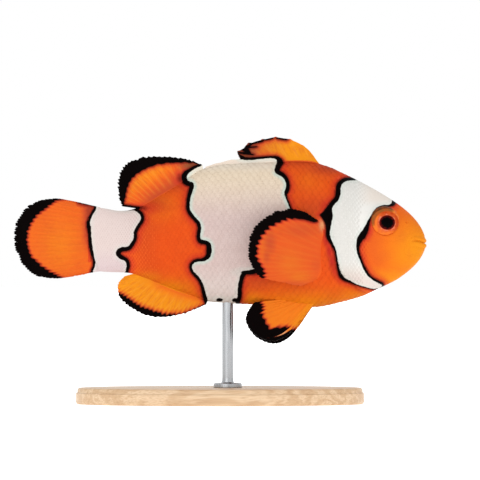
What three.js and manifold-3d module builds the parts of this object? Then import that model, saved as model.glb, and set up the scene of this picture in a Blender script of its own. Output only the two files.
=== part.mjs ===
// A life-size display model of a percula clownfish, held level on a rod above a flat oval base.
// Millimetres, +Z up. The fish faces +X and its right flank faces -Y. The origin is the middle of the
// base's underside, below the middle of the fish's length.
import * as THREE from "three";
import { mergeVertices } from "three/addons/utils/BufferGeometryUtils.js";
import Module from "manifold-3d";

const wasm = await Module();
wasm.setup();

// ---------------------------------------------------------------- driving dimensions
const GAP = 0.3; // clearance between neighbouring pieces
const TAIL_ROOT_X = -25.6; // where the flesh ends inside the tail fin
const SNOUT_X = 40.1;
const FLESH_LENGTH = SNOUT_X - TAIL_ROOT_X;
const BODY_STATIONS = 36;
const BODY_SIDES = 24;
const INNER_DETAIL = 0.6; // share of those stations and sides on hidden inner faces

const ROUND_SIDES = 18; // facets round an eye, the rod and its hole
const CUT_REACH = 15; // half the span of the parting cuts, wider than the fish
const EYE = { x: 31.95, z: 35.4, radius: 3.0, depth: 2.0, sunk: 1.1, forward: 0.22, upward: 0.03 };
const COVER_THICKNESS = 1.2; // of each gill cover
const FIN_EDGE_HALF = 0.3; // half a fin's thickness at its margin
const PECTORAL = { sunk: 0.45, flare: 0.4, curl: 0.006 };
const PELVIC = { rootY: 1.5, flare: 0.24, curl: 0.004, leftTilt: 0.07 };

const BASE = { length: 56, width: 30, height: 3.2, bevel: 0.7 };
const ROD = { x: 1.5, radius: 1.1, top: 22.0, footRadius: 2.8, footHeight: 0.9, rounding: 0.25 };

// The outline of the flesh from the tail's root to the snout, as [x, z], without the fins.
const BACK = [
  [-25.6, 38.5], [-22.1, 38.05], [-19.8, 37.65], [-17.5, 37.8], [-15.5, 38.5], [-12.6, 40.3],
  [-9.3, 42.2], [-6.2, 44.3], [-3.1, 45.8], [1.2, 46.75], [9.7, 47.2], [17.1, 47.1], [21.0, 46.2],
  [24.3, 44.75], [31.5, 40.95], [36.5, 37.45], [38.5, 35.3], [39.5, 33.6], [40.1, 31.1],
];
const BELLY = [
  [-25.6, 25.9], [-22.1, 25.55], [-17.5, 25.3], [-14.6, 24.4], [-10.7, 22.8], [-6.8, 21.4],
  [-2.9, 19.95], [1.2, 19.5], [10.7, 19.1], [18.6, 18.75], [23.3, 19.65], [28.0, 21.0],
  [31.0, 22.4], [34.2, 23.95], [36.2, 25.35], [38.3, 27.3], [39.6, 29.3], [40.1, 31.1],
];
// Half the width of the flesh, as [x, y].
const WIDTH = [
  [-25.6, 0.8], [-22, 1.7], [-18, 2.5], [-12, 3.7], [-5, 4.9], [4, 6.0], [12, 6.5], [20, 6.7],
  [26, 6.5], [32, 5.6], [36, 4.4], [38.5, 3.0], [39.8, 1.5], [40.1, 0],
];
const WIDEST_AT = 0.52; // height of the widest point, as a share of the depth from the belly
const BACK_PINCH = 1.15; // over 1 narrows the section towards the back
const BELLY_PINCH = 0.92; // under 1 fills it towards the belly

// Each fin is a fan between guiding rays: [root x, root z, tip x, tip z], from the front or top edge on.
const SPINY_DORSAL = [
  [19.4, 46.5, 19.0, 47.0], [18.3, 46.9, 17.0, 49.6], [16.1, 47.1, 14.4, 51.2],
  [13.6, 47.1, 11.2, 51.95], [11.4, 47.0, 8.4, 51.4], [9.4, 46.9, 5.6, 50.3],
  [7.6, 46.8, 3.2, 48.85], [5.4, 46.7, 3.75, 47.75], [2.3, 46.4, 1.2, 47.3], [-2.6, 45.6, -2.9, 46.1],
];
const SOFT_DORSAL = [
  [-3.3, 45.5, -3.4, 46.5], [-5.0, 44.7, -6.8, 47.7], [-7.8, 42.7, -11.5, 48.15],
  [-10.5, 41.0, -16.0, 47.75], [-12.6, 39.8, -18.8, 46.1], [-14.2, 38.9, -19.8, 43.4],
  [-15.1, 38.4, -19.6, 40.0], [-15.7, 37.9, -19.1, 38.4],
];
const TAIL_FIN = [
  [-24.1, 38.4, -27.6, 39.2], [-24.3, 37.9, -32.6, 39.95], [-24.6, 36.3, -37.2, 38.5],
  [-24.8, 34.2, -39.5, 35.5], [-24.8, 32.0, -40.1, 32.4], [-24.7, 29.9, -39.3, 29.0],
  [-24.3, 28.0, -37.0, 25.6], [-23.9, 26.4, -32.4, 24.35], [-23.7, 25.7, -26.8, 25.2],
];
const ANAL_FIN = [
  [-2.3, 20.3, -2.7, 19.3], [-4.5, 20.8, -6.2, 17.8], [-7.4, 21.7, -10.1, 16.9],
  [-10.1, 22.7, -14.0, 17.1], [-12.4, 23.6, -17.3, 18.7], [-14.2, 24.4, -19.6, 20.8],
  [-15.5, 24.9, -19.75, 23.4], [-16.5, 25.4, -18.6, 24.8],
];
const PECTORAL_FIN = [
  [19.4, 34.6, 18.8, 35.8], [19.8, 33.0, 15.1, 37.7], [20.0, 31.5, 10.9, 37.4],
  [20.0, 29.9, 7.2, 35.1], [19.9, 28.4, 5.5, 31.6], [19.7, 27.0, 5.5, 28.2],
  [19.4, 25.8, 7.7, 25.3], [18.9, 24.8, 11.3, 23.8], [18.4, 24.1, 15.5, 22.9],
];
const PELVIC_FIN = [
  [19.4, 20.9, 16.1, 16.7], [18.6, 20.9, 13.2, 13.1], [17.9, 20.8, 10.2, 12.15],
  [17.3, 20.8, 6.8, 13.5], [16.8, 20.8, 5.05, 16.2], [16.4, 20.8, 5.45, 18.2],
  [16.0, 20.8, 6.6, 19.8],
];

// Where the head ends, down the rear edge of the gill cover, and the lines that part off the jaw.
const GILL_OPENING = [
  [25.4, 49], [23.3, 42.7], [21.9, 38.5], [20.9, 34.6], [21.6, 31.3], [22.7, 28.2],
  [23.6, 25.6], [25.6, 23.3], [28.4, 21.6], [30.5, 17],
];
const GILL_COVER = [
  [28.7, 35.6], [27.4, 32.6], [27.2, 29.9], [28.0, 27.2], [29.2, 25.2], [28.2, 23.5],
  [22.0, 23.0], [15.0, 31.0], [20.5, 38.6], [26.0, 38.0],
];
const MOUTH = [
  [42.0, 31.2], [38.5, 31.0], [36.9, 30.0], [35.7, 28.4], [33.6, 26.0], [32.6, 20],
];
const TAIL_CUT = [[-15.9, 44], [-17.2, 36], [-17.4, 31], [-16.9, 20]];

// ---------------------------------------------------------------- curves
// Stations bunch towards the snout, so that it closes in a round end.
const stationOf = (x) => Math.asin(Math.min(1, (x - TAIL_ROOT_X) / FLESH_LENGTH));

// A smooth curve through [x, value] pairs, as a function of the station.
function smoothProfile(pairs) {
  const at = pairs.map(([x]) => stationOf(x));
  const value = pairs.map(([, v]) => v);
  const last = pairs.length - 1;
  const slope = at.map((_, i) => {
    const [a, b] = [Math.max(i - 1, 0), Math.min(i + 1, last)];
    return (value[b] - value[a]) / (at[b] - at[a]);
  });
  return (station) => {
    let i = 0;
    while (i < last - 1 && at[i + 1] < station) i += 1;
    const span = at[i + 1] - at[i];
    const t = (station - at[i]) / span;
    const [t2, t3] = [t * t, t * t * t];
    return (
      (2 * t3 - 3 * t2 + 1) * value[i] +
      (t3 - 2 * t2 + t) * span * slope[i] +
      (3 * t2 - 2 * t3) * value[i + 1] +
      (t3 - t2) * span * slope[i + 1]
    );
  };
}

const backZ = smoothProfile(BACK);
const bellyZ = smoothProfile(BELLY);
const halfWidth = smoothProfile(WIDTH);

// How far the flank stands from the middle plane at x, z.
function flankY(x, z) {
  const station = stationOf(x);
  const [top, bottom] = [backZ(station), bellyZ(station)];
  const middle = bottom + WIDEST_AT * (top - bottom);
  const rise = z > middle ? (z - middle) / (top - middle) : (middle - z) / (middle - bottom);
  const pinch = z > middle ? BACK_PINCH : BELLY_PINCH;
  return halfWidth(station) * Math.sqrt(Math.max(0, 1 - rise * rise)) ** pinch;
}

// ---------------------------------------------------------------- solids
function toSolid(geometry) {
  const bare = geometry.clone();
  bare.deleteAttribute("normal");
  bare.deleteAttribute("uv");
  const merged = mergeVertices(bare, 1e-4);
  return new wasm.Manifold(
    new wasm.Mesh({
      numProp: 3,
      vertProperties: new Float32Array(merged.attributes.position.array),
      triVerts: new Uint32Array(merged.index.array),
    }),
  );
}

function toGeometry(solid) {
  const mesh = solid.getMesh();
  const geometry = new THREE.BufferGeometry();
  geometry.setAttribute("position", new THREE.BufferAttribute(mesh.vertProperties, mesh.numProp));
  geometry.setIndex(new THREE.BufferAttribute(mesh.triVerts, 1));
  geometry.computeVertexNormals();
  return geometry;
}

function shellGeometry(points, faces) {
  const geometry = new THREE.BufferGeometry();
  geometry.setAttribute("position", new THREE.Float32BufferAttribute(points.flat(), 3));
  geometry.setIndex(faces.flat());
  return geometry;
}

// The flesh of head, trunk and tail stalk as one loft, grown all round by the amount given.
function fleshSolid(grow = 0) {
  const detail = grow < 0 ? INNER_DETAIL : 1;
  const [stations, sides] = [Math.round(BODY_STATIONS * detail), Math.round(BODY_SIDES * detail)];
  const points = [[TAIL_ROOT_X - grow, 0, (backZ(0) + bellyZ(0)) / 2]];
  for (let i = 0; i < stations; i += 1) {
    const station = (i / stations) * (Math.PI / 2);
    const x = TAIL_ROOT_X - grow + (FLESH_LENGTH + 2 * grow) * Math.sin(station);
    const [top, bottom] = [backZ(station) + grow, bellyZ(station) - grow];
    const middle = bottom + WIDEST_AT * (top - bottom);
    for (let j = 0; j < sides; j += 1) {
      const angle = ((j + 0.5) / sides) * 2 * Math.PI;
      const [across, up] = [Math.cos(angle), Math.sin(angle)];
      const pinch = up > 0 ? BACK_PINCH : BELLY_PINCH;
      const y = (halfWidth(station) + grow) * Math.sign(across) * Math.abs(across) ** pinch;
      points.push([x, y, middle + up * (up > 0 ? top - middle : middle - bottom)]);
    }
  }
  points.push([SNOUT_X + grow, 0, backZ(Math.PI / 2)]);
  const vertex = (i, j) => 1 + i * sides + (j % sides);
  const faces = [];
  for (let j = 0; j < sides; j += 1) {
    faces.push([0, vertex(0, j + 1), vertex(0, j)]);
    for (let i = 0; i < stations - 1; i += 1) {
      faces.push([vertex(i, j), vertex(i, j + 1), vertex(i + 1, j + 1)]);
      faces.push([vertex(i, j), vertex(i + 1, j + 1), vertex(i + 1, j)]);
    }
    faces.push([vertex(stations - 1, j), vertex(stations - 1, j + 1), points.length - 1]);
  }
  return toSolid(shellGeometry(points, faces));
}

// Guiding rays, read as smooth curves along the fin's root and its margin.
function finCurves(guides) {
  const curve = (column) =>
    new THREE.CatmullRomCurve3(
      guides.map((ray) => new THREE.Vector3(ray[column], 0, ray[column + 1])),
      false,
      "centripetal",
    );
  return { root: curve(0), margin: curve(2) };
}

// A fin as a plate that thins from root to margin, with a rib along each ray. sideways(point, root)
// gives its distance from the middle plane.
function finSolid({ guides, rays, steps, rootHalf, sideways = () => 0 }) {
  const { root, margin } = finCurves(guides);
  const columns = 2 * rays;
  const placed = (u, v) => {
    const start = root.getPoint(u);
    const point = start.clone().lerp(margin.getPoint(u), v);
    point.y = sideways(point, start);
    return point;
  };
  const sides = [[], []];
  const [low, high] = [new THREE.Vector3(), new THREE.Vector3()];
  const step = 1e-3;
  for (let i = 0; i <= columns; i += 1) {
    for (let j = 0; j <= steps; j += 1) {
      const [u, v] = [i / columns, j / steps];
      const point = placed(u, v);
      low.subVectors(placed(Math.min(u + step, 1), v), placed(Math.max(u - step, 0), v));
      high.subVectors(placed(u, Math.min(v + step, 1)), placed(u, Math.max(v - step, 0)));
      const normal = low.cross(high).normalize();
      const rib = i % 2 ? 1 : 0.85;
      const half = rib * (rootHalf + (FIN_EDGE_HALF - rootHalf) * v ** 0.6);
      sides[0].push(point.clone().addScaledVector(normal, half).toArray());
      sides[1].push(point.clone().addScaledVector(normal, -half).toArray());
    }
  }
  const row = steps + 1;
  const other = sides[0].length;
  const at = (i, j, side = 0) => side * other + i * row + j;
  const faces = [];
  const quad = (a, b, c, d) => faces.push([a, b, c], [a, c, d]);
  for (let i = 0; i < columns; i += 1) {
    for (let j = 0; j < steps; j += 1) {
      quad(at(i, j), at(i + 1, j), at(i + 1, j + 1), at(i, j + 1));
      quad(at(i, j, 1), at(i, j + 1, 1), at(i + 1, j + 1, 1), at(i + 1, j, 1));
    }
    quad(at(i, 0), at(i, 0, 1), at(i + 1, 0, 1), at(i + 1, 0));
    quad(at(i, steps), at(i + 1, steps), at(i + 1, steps, 1), at(i, steps, 1));
  }
  for (let j = 0; j < steps; j += 1) {
    quad(at(0, j), at(0, j + 1), at(0, j + 1, 1), at(0, j, 1));
    quad(at(columns, j), at(columns, j, 1), at(columns, j + 1, 1), at(columns, j + 1));
  }
  const solid = toSolid(shellGeometry([...sides[0], ...sides[1]], faces));
  return largest(solid.subtract(grownFlesh));
}

// A solid with the outline given in x and z, reaching the same distance to both sides.
function prism(outline, reach) {
  const shape = new THREE.Shape(outline.map(([x, z]) => new THREE.Vector2(x, z)));
  const geometry = new THREE.ExtrudeGeometry(shape, { depth: 2 * reach, bevelEnabled: false });
  return toSolid(geometry.rotateX(Math.PI / 2).translate(0, reach, 0));
}

// A wall as thick as the gap along a line in x and z, used as a saw.
function saw(line) {
  const curve = new THREE.SplineCurve(line.map(([x, z]) => new THREE.Vector2(x, z)));
  const centre = curve.getPoints(2 * line.length);
  const edge = (side) =>
    centre.map((point, i) => {
      const before = centre[Math.max(i - 1, 0)];
      const after = centre[Math.min(i + 1, centre.length - 1)];
      const along = after.clone().sub(before).normalize();
      return [point.x - (side * along.y * GAP) / 2, point.y + (side * along.x * GAP) / 2];
    });
  return prism([...edge(1), ...edge(-1).reverse()], CUT_REACH);
}

function middleX(solid) {
  const box = solid.boundingBox();
  return (box.min[0] + box.max[0]) / 2;
}

function largest(solid) {
  return solid.decompose().sort((a, b) => b.volume() - a.volume())[0];
}

function ellipsoid({ radius, depth }, grow, matrix) {
  const geometry = new THREE.SphereGeometry(1, ROUND_SIDES, 10);
  geometry.scale(radius + grow, depth + grow, radius + grow);
  return toSolid(geometry.applyMatrix4(matrix));
}

// An eye's place: its flat axis looks outwards, a little forwards and up. side is -1 on the right.
function eyeMatrix(side) {
  const outwards = new THREE.Vector3(EYE.forward, side, EYE.upward).normalize();
  const turn = new THREE.Quaternion().setFromUnitVectors(new THREE.Vector3(0, side, 0), outwards);
  const place = new THREE.Vector3(EYE.x, side * flankY(EYE.x, EYE.z), EYE.z);
  place.addScaledVector(outwards, -EYE.sunk);
  return new THREE.Matrix4().compose(place, turn, new THREE.Vector3(1, 1, 1));
}

// ---------------------------------------------------------------- the fish
const flesh = fleshSolid();
const grownFlesh = fleshSolid(GAP);

// Trunk, tail stalk, head, jaw and gill covers, parted by thin cuts.
function fleshPieces() {
  const [stalk, trunk, wholeHead] = flesh
    .subtract(saw(TAIL_CUT))
    .subtract(saw(GILL_OPENING))
    .decompose()
    .sort((a, b) => middleX(a) - middleX(b));
  const socket = (side) => ellipsoid(EYE, GAP, eyeMatrix(side));
  const rodHole = new THREE.CylinderGeometry(ROD.radius + GAP, ROD.radius + GAP, ROD.top, ROUND_SIDES);
  rodHole.rotateX(Math.PI / 2).translate(ROD.x, 0, ROD.top / 2 + GAP);
  const coverEdge = smoothLoop(GILL_COVER);
  const cover = prism(coverEdge, CUT_REACH).subtract(fleshSolid(-COVER_THICKNESS));
  const seat = prism(grownOutline(coverEdge, GAP), CUT_REACH).subtract(
    fleshSolid(-COVER_THICKNESS - GAP),
  );
  const [right, left] = wholeHead
    .intersect(cover)
    .decompose()
    .sort((a, b) => b.volume() - a.volume())
    .slice(0, 2)
    .sort((a, b) => a.boundingBox().min[1] - b.boundingBox().min[1]);
  const [jaw, head] = wholeHead
    .subtract(seat)
    .subtract(socket(-1))
    .subtract(socket(1))
    .subtract(saw(MOUTH))
    .decompose()
    .sort((a, b) => b.volume() - a.volume())
    .slice(0, 2)
    .reverse();
  return {
    head,
    lower_jaw: jaw,
    gill_cover_right: right,
    gill_cover_left: left,
    trunk: trunk.subtract(toSolid(rodHole)),
    tail_stalk: stalk,
  };
}

// A smooth closed outline through the corners given.
function smoothLoop(corners) {
  const vectors = corners.map(([x, z]) => new THREE.Vector3(x, z, 0));
  const curve = new THREE.CatmullRomCurve3(vectors, true, "centripetal");
  return curve.getPoints(2 * corners.length).slice(1).map((point) => [point.x, point.y]);
}

// An outline moved outwards by the amount given, corner by corner.
function grownOutline(outline, by) {
  const count = outline.length;
  const turns = THREE.ShapeUtils.isClockWise(outline.map(([x, z]) => new THREE.Vector2(x, z)));
  return outline.map(([x, z], i) => {
    const before = outline[(i + count - 1) % count];
    const after = outline[(i + 1) % count];
    const along = new THREE.Vector2(after[0] - before[0], after[1] - before[1]).normalize();
    const out = turns ? -by : by;
    return [x + along.y * out, z - along.x * out];
  });
}

// Fins on the middle plane.
function middleFins() {
  return {
    dorsal_fin_spiny: finSolid({ guides: SPINY_DORSAL, rays: 10, steps: 3, rootHalf: 0.8 }),
    dorsal_fin_soft: finSolid({ guides: SOFT_DORSAL, rays: 13, steps: 3, rootHalf: 0.8 }),
    anal_fin: finSolid({ guides: ANAL_FIN, rays: 12, steps: 3, rootHalf: 0.8 }),
    tail_fin: finSolid({ guides: TAIL_FIN, rays: 13, steps: 4, rootHalf: 1.0 }),
  };
}

// A pectoral fin leaves the flank behind the gill cover and stands off it towards its margin.
function pectoralFin(side) {
  const sideways = (point, root) => {
    const back = Math.hypot(root.x - point.x, root.z - point.z);
    const off = PECTORAL.flare * back - PECTORAL.curl * back * back;
    return side * (flankY(root.x, root.z) - PECTORAL.sunk + off);
  };
  return finSolid({ guides: PECTORAL_FIN, rays: 12, steps: 4, rootHalf: 0.55, sideways });
}

// A pelvic fin hangs from the belly and splays outwards. The left one is swung a little further down.
function pelvicFin(side) {
  const pivot = new THREE.Vector3(PELVIC_FIN[0][0], 0, PELVIC_FIN[0][1]);
  const axis = new THREE.Vector3(0, 1, 0);
  const tilt = side > 0 ? -PELVIC.leftTilt : 0;
  const guides = PELVIC_FIN.map(([rootX, rootZ, tipX, tipZ]) => {
    const tip = new THREE.Vector3(tipX, 0, tipZ).sub(pivot).applyAxisAngle(axis, tilt).add(pivot);
    return [rootX, rootZ, tip.x, tip.z];
  });
  const sideways = (point, root) => {
    const out = Math.hypot(root.x - point.x, root.z - point.z);
    return side * (PELVIC.rootY + PELVIC.flare * out - PELVIC.curl * out * out);
  };
  return finSolid({ guides, rays: 6, steps: 4, rootHalf: 0.6, sideways });
}

// ---------------------------------------------------------------- the stand
function baseGeometry() {
  const { length, width, height, bevel } = BASE;
  const oval = new THREE.Shape();
  oval.absellipse(0, 0, length / 2 - bevel, width / 2 - bevel, 0, 2 * Math.PI, false, 0);
  return new THREE.ExtrudeGeometry(oval, {
    depth: height - 2 * bevel,
    bevelThickness: bevel,
    bevelSize: bevel,
    bevelSegments: 2,
    curveSegments: 24,
  }).translate(0, 0, bevel);
}

function rodGeometry() {
  const { radius, top, footRadius, footHeight, rounding, x } = ROD;
  const profile = [
    [0, 0], [footRadius, 0], [footRadius, footHeight - rounding], [footRadius - rounding, footHeight],
    [radius + rounding, footHeight], [radius, footHeight + rounding],
    [radius, top - BASE.height - rounding], [radius - rounding, top - BASE.height],
    [0, top - BASE.height],
  ].map(([r, z]) => new THREE.Vector2(r, z));
  return new THREE.LatheGeometry(profile, ROUND_SIDES).rotateX(Math.PI / 2).translate(x, 0, BASE.height);
}

// ---------------------------------------------------------------- the model
const COLOURS = {
  orange: { color: 0xf0731c, roughness: 0.45 },
  white: { color: 0xe6d8d0, roughness: 0.45 },
  gold: { color: 0xf78f1e, roughness: 0.5 },
  eye: { color: 0x0a0706, roughness: 0.1 },
  wood: { color: 0xd8b48a, roughness: 0.5 },
  steel: { color: 0xb8babd, roughness: 0.3, metalness: 1 },
};

const model = new THREE.Group();

function add(name, colour, geometry) {
  const material = new THREE.MeshStandardMaterial(COLOURS[colour]);
  const mesh = new THREE.Mesh(geometry, material);
  mesh.name = name;
  model.add(mesh);
}

for (const [name, solid] of Object.entries(fleshPieces())) {
  add(name, name === "tail_stalk" ? "white" : "orange", toGeometry(solid));
}
for (const [name, solid] of Object.entries(middleFins())) add(name, "gold", toGeometry(solid));
for (const [name, side] of [["right", -1], ["left", 1]]) {
  add(`pectoral_fin_${name}`, "gold", toGeometry(pectoralFin(side)));
  add(`pelvic_fin_${name}`, "gold", toGeometry(pelvicFin(side)));
  add(`eye_${name}`, "eye", toGeometry(ellipsoid(EYE, 0, eyeMatrix(side))));
}
add("stand_base", "wood", baseGeometry());
add("stand_rod", "steel", rodGeometry());

export default model;
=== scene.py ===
"""The looks of a life-size clownfish on a display stand.

Lengths inside the script are millimetres in the row frame: +X to the snout, -Y out of the right flank,
+Z up. Meshes are turned into metres as they are made.
"""
import math

import bpy
import numpy as np
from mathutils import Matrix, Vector


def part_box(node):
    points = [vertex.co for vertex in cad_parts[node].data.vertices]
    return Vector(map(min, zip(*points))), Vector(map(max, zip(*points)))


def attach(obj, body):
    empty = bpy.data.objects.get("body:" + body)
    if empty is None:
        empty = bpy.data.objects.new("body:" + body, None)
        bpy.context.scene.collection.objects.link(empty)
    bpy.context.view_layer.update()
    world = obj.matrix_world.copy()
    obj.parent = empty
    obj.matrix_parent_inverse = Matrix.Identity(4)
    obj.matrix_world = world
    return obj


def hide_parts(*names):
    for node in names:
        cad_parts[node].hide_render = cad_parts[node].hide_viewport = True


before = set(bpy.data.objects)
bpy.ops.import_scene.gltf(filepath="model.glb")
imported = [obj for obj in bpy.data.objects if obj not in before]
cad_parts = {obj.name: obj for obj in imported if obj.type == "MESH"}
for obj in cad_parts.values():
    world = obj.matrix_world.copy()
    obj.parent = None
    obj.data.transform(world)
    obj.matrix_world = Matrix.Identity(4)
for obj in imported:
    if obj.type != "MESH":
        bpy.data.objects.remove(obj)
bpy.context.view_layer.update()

MM = 0.001
SIDES = {"right": -1, "left": 1}


def cad_box(node):
    """A CAD node's lowest and highest corner."""
    return tuple(np.array(corner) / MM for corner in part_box(node))


# ---- the flesh, as the CAD has it
TAIL_ROOT_X = cad_box("tail_stalk")[0][0]
SNOUT_X = cad_box("head")[1][0]
FLESH_LENGTH = SNOUT_X - TAIL_ROOT_X

# The flesh from the tail's root to the snout: its outline as (x, z), and half its width as (x, y).
BACK = [
    (-25.6, 38.5), (-22.1, 38.05), (-19.8, 37.65), (-17.5, 37.8), (-15.5, 38.5), (-12.6, 40.3),
    (-9.3, 42.2), (-6.2, 44.3), (-3.1, 45.8), (1.2, 46.75), (9.7, 47.2), (17.1, 47.1), (21.0, 46.2),
    (24.3, 44.75), (31.5, 40.95), (36.5, 37.45), (38.5, 35.3), (39.5, 33.6), (40.1, 31.1),
]
BELLY = [
    (-25.6, 25.9), (-22.1, 25.55), (-17.5, 25.3), (-14.6, 24.4), (-10.7, 22.8), (-6.8, 21.4),
    (-2.9, 19.95), (1.2, 19.5), (10.7, 19.1), (18.6, 18.75), (23.3, 19.65), (28.0, 21.0), (31.0, 22.4),
    (34.2, 23.95), (36.2, 25.35), (38.3, 27.3), (39.6, 29.3), (40.1, 31.1),
]
WIDTH = [
    (-25.6, 0.8), (-22, 1.7), (-18, 2.5), (-12, 3.7), (-5, 4.9), (4, 6.0), (12, 6.5), (20, 6.7),
    (26, 6.5), (32, 5.6), (36, 4.4), (38.5, 3.0), (39.8, 1.5), (40.1, 0),
]
WIDEST_AT = 0.52
BACK_PINCH = 1.15
BELLY_PINCH = 0.92
COAT_DEPTH = 0.12  # how far the skin lies inside the flesh, to leave room for the scales


def station_of(x):
    """Stations run from 0 at the tail's root to a quarter turn at the snout, which they close roundly."""
    return np.arcsin(np.clip((np.asarray(x, float) - TAIL_ROOT_X) / FLESH_LENGTH, 0, 1))


def hermite(t, start, end, out, into):
    """A curve from start to end for t from 0 to 1, with the given slopes at its ends."""
    first = (2 * t**3 - 3 * t**2 + 1) * start + (t**3 - 2 * t**2 + t) * out
    return first + (3 * t**2 - 2 * t**3) * end + (t**3 - t**2) * into


def smooth_profile(pairs):
    """A smooth curve through (x, value) pairs, as a function of the station."""
    at = station_of([x for x, _ in pairs])
    value = np.array([v for _, v in pairs], float)
    before = np.maximum(np.arange(len(at)) - 1, 0)
    after = np.minimum(np.arange(len(at)) + 1, len(at) - 1)
    slope = (value[after] - value[before]) / (at[after] - at[before])

    def profile(station):
        i = np.clip(np.searchsorted(at, station, side="right") - 1, 0, len(at) - 2)
        j = i + 1
        span = at[j] - at[i]
        return hermite((station - at[i]) / span, value[i], value[j], span * slope[i], span * slope[j])

    return profile


back_z, belly_z, half_width = (smooth_profile(pairs) for pairs in (BACK, BELLY, WIDTH))


def section(station):
    """Heights of the back, of the widest place and of the belly."""
    top, bottom = back_z(station), belly_z(station)
    return top, bottom + WIDEST_AT * (top - bottom), bottom


def flesh_point(station, angle):
    """The flesh's surface. Angle 0 is the middle of the left flank and a quarter turn is the back."""
    top, middle, bottom = section(station)
    across, up = np.cos(angle), np.sin(angle)
    pinch = np.where(up > 0, BACK_PINCH, BELLY_PINCH)
    x = TAIL_ROOT_X + FLESH_LENGTH * np.sin(station)
    y = half_width(station) * np.sign(across) * np.abs(across) ** pinch
    z = middle + up * np.where(up > 0, top - middle, middle - bottom)
    return np.stack([x, y, z], axis=-1)


def flesh_normal(station, angle):
    """The unit vector that points straight out of the flesh."""
    step = 2e-3
    station = np.clip(station, step, math.pi / 2 - 2 * step)
    along = flesh_point(station + step, angle) - flesh_point(station - step, angle)
    around = flesh_point(station, angle + step) - flesh_point(station, angle - step)
    normal = np.cross(around, along)
    return normal / np.linalg.norm(normal, axis=-1, keepdims=True)


def flank_y(x, z):
    """How far the flank stands from the middle plane at x, z."""
    station = station_of(x)
    top, middle, bottom = section(station)
    rise = np.where(z > middle, (z - middle) / (top - middle), (middle - z) / (middle - bottom))
    pinch = np.where(z > middle, BACK_PINCH, BELLY_PINCH)
    return half_width(station) * np.sqrt(np.maximum(0, 1 - rise**2)) ** pinch


# ---- lines drawn on the fish
def ease(value, low, high):
    """0 at low, 1 at high, smooth in between."""
    t = np.clip((np.asarray(value, float) - low) / (high - low), 0, 1)
    return t * t * (3 - 2 * t)


def bump_at(distance, width):
    """1 at no distance, fading over the width."""
    return np.exp(-((distance / width) ** 2))


def spline(points, closed=False):
    """A centripetal Catmull-Rom curve through the points, as a function of 0 to 1."""
    p = np.array(points, float)
    if closed:
        p = np.vstack([p[-1:], p, p[:2]])
    else:
        p = np.vstack([2 * p[:1] - p[1:2], p, 2 * p[-1:] - p[-2:-1]])
    spans = len(p) - 3
    knot = np.maximum(np.linalg.norm(np.diff(p[:, :2], axis=0), axis=1) ** 0.5, 1e-4)[:, None]

    def curve(u):
        u = np.clip(np.asarray(u, float), 0, 1) * spans
        i = np.minimum(u.astype(int), spans - 1)
        p0, p1, p2, p3 = p[i], p[i + 1], p[i + 2], p[i + 3]
        k0, k1, k2 = knot[i], knot[i + 1], knot[i + 2]
        out = ((p1 - p0) / k0 - (p2 - p0) / (k0 + k1) + (p2 - p1) / k1) * k1
        into = ((p2 - p1) / k1 - (p3 - p1) / (k1 + k2) + (p3 - p2) / k2) * k1
        return hermite((u - i)[..., None], p1, p2, out, into)

    return curve


def drawn(points, closed=False, per_span=6):
    """The points joined by a smooth line, as many short straight pieces."""
    count = (len(points) - (0 if closed else 1)) * per_span
    return spline(points, closed)(np.linspace(0, 1, count + 1))


def measure(line, x, z):
    """Distance from each x, z to a line, positive on the left of its way, and the place along it."""
    start, step = line[:-1, :2], np.diff(line[:, :2], axis=0)
    length = (step**2).sum(1)
    points = np.stack([x, z], axis=-1)
    distance, place = np.empty(len(points)), np.empty(len(points))
    for part in np.array_split(np.arange(len(points)), len(points) // 8000 + 1):
        away = points[part][:, None] - start
        share = np.clip((away * step).sum(2) / length, 0, 1)
        gap = ((away - share[..., None] * step) ** 2).sum(2)
        nearest = gap.argmin(1)
        row = np.arange(len(part))
        away = away[row, nearest]
        turn = step[nearest, 0] * away[:, 1] - step[nearest, 1] * away[:, 0]
        distance[part] = np.sqrt(gap[row, nearest]) * np.where(turn < 0, -1, 1)
        place[part] = nearest + share[row, nearest]
    return distance, place


def within(loop, x, z):
    """Whether each x, z is inside a closed loop."""
    inside = np.zeros(len(x), bool)
    for (x0, z0), (x1, z1) in zip(loop[:-1, :2], loop[1:, :2]):
        if z0 != z1:
            crossed = (z < z0) != (z < z1)
            inside ^= crossed & (x < x0 + (z - z0) * (x1 - x0) / (z1 - z0))
    return inside


# ---- relief of the head and body
# Edges of the head's plates and the mouth, as (x, z). A plate lies on the left of its edge's way.
GILL_OPENING = drawn([
    (25.9, 50), (24.5, 46.4), (23.3, 42.7), (21.9, 38.5), (20.9, 34.6), (21.6, 31.3), (22.7, 28.2),
    (23.6, 25.6), (25.6, 23.3), (28.4, 21.6), (32.5, 20.0),
])
CHEEK_PLATE = drawn([
    (29.6, 36.8), (28.7, 35.2), (27.6, 33.2), (27.0, 31.0), (27.2, 29.0), (28.0, 27.0), (29.5, 25.1),
    (31.6, 23.9), (33.6, 23.6),
])
UNDER_EYE = drawn([(29.7, 34.4), (30.4, 33.0), (32.0, 31.9), (34.0, 31.8), (36.0, 32.6), (37.2, 34.0)])
UPPER_JAW = drawn([(37.2, 32.4), (36.3, 31.5), (35.8, 30.3), (35.9, 29.3), (36.6, 28.9)])
MOUTH = drawn([(40.6, 31.1), (39.7, 31.3), (38.7, 31.6), (37.6, 31.7), (36.8, 31.4)])
# A furrow's line, depth and width, and where the low ridge beside it lies.
FURROWS = [(UNDER_EYE, 0.05, 0.16, 0.45), (UPPER_JAW, 0.06, 0.14, -0.4)]
NOSTRIL = (36.2, 35.3)
PECTORAL_BASE = (20.6, 29.3)
VENT_X = -0.1
EYE_OUTWARDS = {side: np.array([0.22, sign, 0.03]) for side, sign in SIDES.items()}
EYE_OPENING = 2.72  # radius that shows


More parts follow.
